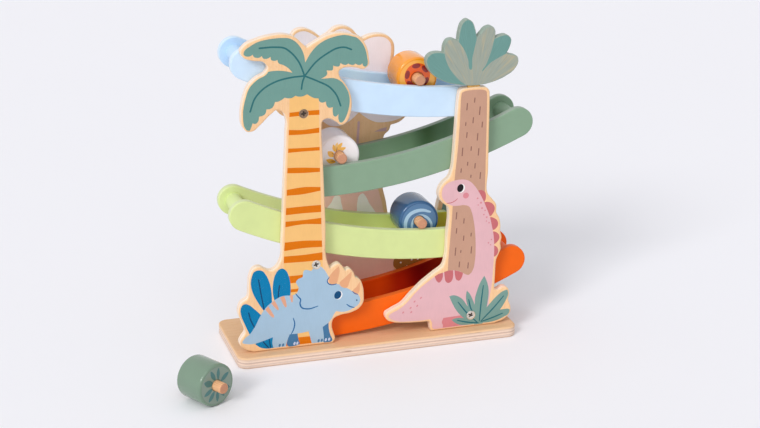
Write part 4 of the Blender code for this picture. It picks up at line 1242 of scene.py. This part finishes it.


# Rails: paint outside, how grey the sawn edges are, and painted light and shade along x on the inside
# faces: lighter where the inside is lit, darker where it lies in shade
RAIL_PAINT_AND_SHADE = {
    "sky": ((204, 228, 250), 0.2, (
        (-110, (194, 222, 249)), (-60, (198, 226, 252)), (-10, (214, 240, 255)),
        (20, (198, 230, 255)), (45, (171, 209, 245)))),
    "sage": ((135, 163, 137), 0.34, (
        (20, (136, 170, 136)), (66, (122, 158, 122)), (94, (80, 114, 76)),
        (114, (104, 140, 106)), (134, (132, 162, 134)))),
    "lime": ((213, 226, 154), 0.2, (
        (-105, (215, 229, 160)), (-60, (212, 232, 148)), (-25, (232, 255, 152)),
        (10, (230, 255, 150)), (40, (226, 250, 140)), (95, (200, 206, 70)))),
    "orange": ((241, 101, 6), 0.05, (
        (20, (252, 82, 0)), (56, (194, 36, 0)), (84, (144, 4, 0)),
        (115, (176, 40, 0)), (138, (244, 98, 4)))),
}


def rail_outline(centre, side, upper, span):
    """Rail: two arcs about the ramp's centre, a half round at the upper end, small rounds at the low."""
    top, low = math.radians(upper), math.radians(upper - span)
    half = RAIL_HEIGHT / 2

    def spot(radius, angle):
        return np.stack((side * radius * np.sin(angle), -radius * np.cos(angle)), -1)

    start = low + RAIL_CORNER / RAIL_RADIUS
    run = np.linspace(start, top, 90)
    turn = np.linspace(0, math.pi, 40)[1:-1, None]
    onward = spot(1.0, top + math.pi / 2)
    round_end = spot(RAIL_RADIUS, top) + half * (np.cos(turn) * spot(1.0, top) + np.sin(turn) * onward)
    corner = np.linspace(0, math.pi / 2, 9)[1:, None]
    along, out = spot(1.0, low - math.pi / 2), spot(1.0, low)
    first = spot(RAIL_RADIUS - half + RAIL_CORNER, start)
    second = spot(RAIL_RADIUS + half - RAIL_CORNER, start)
    upper_corner = first + RAIL_CORNER * (-np.cos(corner) * out + np.sin(corner) * along)
    lower_corner = second + RAIL_CORNER * (np.sin(corner) * out + np.cos(corner) * along)
    return centre + np.concatenate((spot(RAIL_RADIUS + half, run), round_end,
                                    spot(RAIL_RADIUS - half, run[::-1]), upper_corner, lower_corner[:-1]))


def add_ramps():
    """Painted rails in pairs, and the painted dowel between their upper ends."""
    for name, (centre, side, upper, span) in RAMPS.items():
        # The last of these is the painted light and shade on the inside faces of the ramp
        colour, greyed, painted_light_and_shade = RAIL_PAINT_AND_SHADE[name]
        finish = paint(name + " paint", colour, painted_light_and_shade=painted_light_and_shade, greyed=greyed)
        outline = rail_outline(centre, side, upper, span)
        for place, face in RAIL_FACES.items():
            shell = solid(outline, RAIL_THICKNESS, RAIL_EASE, upright(face))
            label = name + "_" + place
            show(shell, "ramp_" + label, "frame", name + "_paint", finish, "rail_" + label)
        a = math.radians(upper)
        end = (centre[0] + side * RAIL_RADIUS * math.sin(a), 0.0, centre[1] - RAIL_RADIUS * math.cos(a))
        shell = rod(DOWEL_RADIUS, 96, DOWEL_LENGTH, DOWEL_EASE, end)
        show(shell, "dowel_" + name, "frame", name + "_paint", finish, "cross_dowel_" + name)


# Rollers: paint, the printed disc, and what is printed on it; leaves are root, tip and width
ROLLER_PAINT = {
    "amber": (244, 152, 24), "white": (253, 244, 245), "navy": (45, 92, 136), "moss": (114, 139, 118),
}
PRINT_RADIUS = 17.4
SUN_RADIUS = 12.6
SUN_RISE = 2.0
SPOT_ANGLES = (96, 40, 168, 226, 277, 328)
SPOT_REACH = 10.0
HUB_RADIUS = 6.6
GOLD, PALE_GOLD, STEM_BROWN = ink(252, 192, 82), ink(254, 208, 124), ink(172, 112, 62)
SPRIG = [
    ((-4.4, 0.2), (-11.4, 5.4), 5.6, GOLD), ((-3.4, -5.6), (-13, -2.4), 4.8, GOLD),
    ((-3.2, 4.0), (-5.8, 12), 3.6, GOLD), ((-2.9, 7), (-1.6, 13.6), 2.8, PALE_GOLD),
    ((-2.2, 5.6), (3.1, 12.9), 3.8, GOLD), ((-2.6, 4), (6.6, 7.8), 4.0, GOLD),
]
SPRIG_STEMS = [
    [(-4.6, -0.6), (-3.2, 3.2), (-2.5, 6), (-2.2, 8.6)], [(-7, 3.2), (-5.4, 2.2), (-4.2, 0.4)],
    [(-8.4, -4.2), (-6, -4.4), (-4, -4.6)],
]
OUTER_WAVE = [(-9, -14), (-12.2, -10), (-13.8, -4), (-13, 2), (-9.6, 7.2), (-4, 10), (3, 10.7), (11.4, 8.2)]
INNER_WAVE = [
    (-5.6, -10.6), (-7.2, -6), (-6.6, -1), (-3.6, 3.6), (1.4, 5.2), (7, 3.6), (11, -0.6), (12.8, -6),
    (11, -12),
]
PETALS = [
    ((2.0, 4.8), (2.9, 16.4), 3.7), ((4.8, 2.3), (14.6, 9.0), 4.5), ((-1.0, 5.0), (-6.4, 15.6), 4.3),
    ((-3.6, 2.4), (-14.3, 6.6), 6.4), ((-4.6, -1.4), (-14.8, -6.4), 4.3),
    ((-2.6, -4.6), (-9.8, -13.7), 4.3), ((0.4, -5.6), (0.2, -16), 3.7),
    ((3.4, -4.8), (8.5, -12.9), 3.9), ((5.2, -2.0), (15.4, -6.5), 3.9),
]


def amber_print():
    """Amber roller: a red-orange disc a little above the peg, with dark spots and a dark ring."""
    shapes = [(ring(PRINT_RADIUS, 90), ink(253, 178, 72)),
              (ring(SUN_RADIUS, 90, (0, SUN_RISE)), ink(233, 92, 15))]
    for angle in SPOT_ANGLES:
        a = math.radians(angle)
        spot = (SPOT_REACH * math.cos(a), SPOT_REACH * math.sin(a) + SUN_RISE)
        shapes += dotted(ink(142, 34, 28), [spot], 4.1, 2.4, angle + 90, 24)
    return shapes + [(ring(HUB_RADIUS, 60), ink(134, 32, 26))]


def white_print():
    """White roller: a golden sprig of leaves beside the peg."""
    shapes = [(leaf(root, tip, width, 0.4), colour) for root, tip, width, colour in SPRIG]
    return shapes + lined(STEM_BROWN, SPRIG_STEMS, 0.8, 0.6)


def navy_print():
    """Navy roller: a mid-blue face with two broad pale waves round the peg."""
    pale = ink(164, 198, 222)
    shapes = [(ring(PRINT_RADIUS, 90), ink(78, 121, 163))]
    return shapes + lined(pale, [OUTER_WAVE], 3.7, 0.45) + lined(pale, [INNER_WAVE], 2.6, 0.7)


def moss_print():
    """Moss roller: nine petals of uneven width round the peg."""
    petals = [(leaf(root, tip, width, 0.2), ink(62, 116, 114)) for root, tip, width in PETALS]
    return [(ring(PRINT_RADIUS, 90), ink(129, 147, 133))] + petals


def add_rollers():
    """Rollers with a printed face on both ends, and the pegs they roll on."""
    prints = {"amber": amber_print(), "white": white_print(), "navy": navy_print(), "moss": moss_print()}
    peg_wood = turned_wood("peg wood", *PEG_WOOD, PEG_LENGTH)
    for name, (centre, back) in ROLLERS.items():
        finish = paint(name + " roller paint", ROLLER_PAINT[name], True)
        shell = rod(ROLLER_RADIUS, 128, ROLLER_LENGTH, ROLLER_EASE, centre, back,
                    prints=prints[name], bore=ROLLER_BORE)
        show(shell, name + "_wheel", name + "_roller", name + "_paint", finish, "roller_" + name)
        shell = rod(PEG_RADIUS, 64, PEG_LENGTH, PEG_EASE, centre, back)
        show(shell, name + "_axle", name + "_peg", "raw_wood", peg_wood, "peg_" + name)


def add_spacers_and_screws():
    """Plain wooden spacers, and the screws at their ends and up through the base."""
    wood = turned_wood("spacer wood", *SPACER_WOOD, SPACER_LENGTH)
    # The last colour of each screw steel is the painted shade in its recess
    steel = plated("nickel screw steel", (240, 234, 224), (60, 44, 34))
    bronze = plated("bronzed screw steel", (158, 132, 110), (58, 42, 32))
    for name, (x, z) in SPACERS.items():
        shell = rod(SPACER_RADIUS, 64, SPACER_LENGTH, SPACER_EASE, (x, 0.0, z))
        show(shell, "post_" + name, "frame", "raw_wood", wood, "spacer_" + name)
        finish = bronze if name == "upper" else steel
        for place, y, along in (("front", FRONT_FACE, 1.0), ("back", -FRONT_FACE, -1.0)):
            label = name + "_" + place
            shell = screw((x, y, z), (0, along, 0))
            show(shell, "screw_" + label, "frame", "screw_steel", finish, "spacer_screw_" + label)
    for name, pair in BASE_SCREWS.items():
        for side, (x, y) in zip(("left", "right"), pair):
            label = name + "_" + side
            shell = screw((x, y, 0.0), (0, 0, 1.0))
            show(shell, "foot_screw_" + label, "frame", "screw_steel", steel, "base_screw_" + label)


# Floor, light and camera, in metres and degrees
FLOOR_HALF = 8.0
FLOOR_WHITES = ((245, 244, 248), (246, 245, 249))
ROOM_LIGHT = (0.96, 0.97, 1.0, 1.0)
ROOM_STRENGTH = (0.28, 0.77)
SURROUND = (0.965, 0.962, 0.975, 1.0)
SUNS = (("window", 1.43, 19.0, (1.35, 1.15, -1.15)), ("room", 0.57, 60.0, (0.33, 0.85, -0.75)))
CAMERA_PLACE = (-0.4463, -1.4915, 0.6535)
CAMERA_TILT = 71.241
CAMERA_TURN = -17.144
CAMERA_LENS = 80.53
SENSOR_WIDTH = 36.0


def add_stage():
    """Pale floor, soft light from the upper left, a white surround, and the camera."""
    mesh = bpy.data.meshes.new("floor")
    corners = [(x * FLOOR_HALF, y * FLOOR_HALF, 0) for x, y in ((-1, -1), (1, -1), (1, 1), (-1, 1))]
    mesh.from_pydata(corners, [], [(0, 1, 2, 3)])
    finish = bpy.data.materials.new("floor white")
    finish.use_nodes = True
    tree = finish.node_tree
    shader = tree.nodes["Principled BSDF"]
    shader.inputs["Roughness"].default_value = 0.7
    shader.inputs["Specular IOR Level"].default_value = 0.2
    tone = output(tree, "ShaderNodeTexCoord", key="Object").noise(3.0, 3.0).mix(*FLOOR_WHITES)
    tree.links.new(tone.socket, shader.inputs["Base Color"])
    mesh.materials.append(finish)
    floor = linked("floor", mesh)

    world = bpy.data.worlds.new("soft room")
    bpy.context.scene.world = world
    world.use_nodes = True
    tree = world.node_tree
    ambient = tree.nodes["Background"]
    ambient.inputs["Color"].default_value = ROOM_LIGHT
    rise = output(tree, "ShaderNodeTexCoord", key="Generated").parts()[2]
    tree.links.new(rise.ranged(0.0, 1.0, *ROOM_STRENGTH).socket, ambient.inputs["Strength"])
    white = output(tree, "ShaderNodeBackground", {"Color": SURROUND, "Strength": 1.0})
    path = node(tree, "ShaderNodeLightPath").outputs
    direct, glossy, clear = (Value(path["Is " + kind + " Ray"])
                             for kind in ("Camera", "Glossy", "Transmission"))
    seen = direct.maths("MAXIMUM", glossy.maths("MAXIMUM", clear))
    blend = output(tree, "ShaderNodeMixShader", {0: seen, 1: Value(ambient.outputs[0]), 2: white})
    tree.links.new(blend.socket, tree.nodes["World Output"].inputs["Surface"])

    for name, energy, spread, aim in SUNS:
        sun = bpy.data.lights.new(name, "SUN")
        sun.energy = energy
        sun.angle = math.radians(spread)
        linked(name, sun).rotation_euler = Vector(aim).to_track_quat("-Z", "Y").to_euler()

    camera = bpy.data.cameras.new("camera")
    camera.sensor_fit = "HORIZONTAL"
    camera.sensor_width = SENSOR_WIDTH
    camera.lens = CAMERA_LENS
    thing = linked("camera", camera)
    thing.location = CAMERA_PLACE
    thing.rotation_euler = (math.radians(CAMERA_TILT), 0.0, math.radians(CAMERA_TURN))
    bpy.context.scene.camera = thing
    bpy.context.scene.view_settings.view_transform = "Standard"


add_stage()
add_base()
add_boards()
add_fan()
add_ramps()
add_rollers()
add_spacers_and_screws()
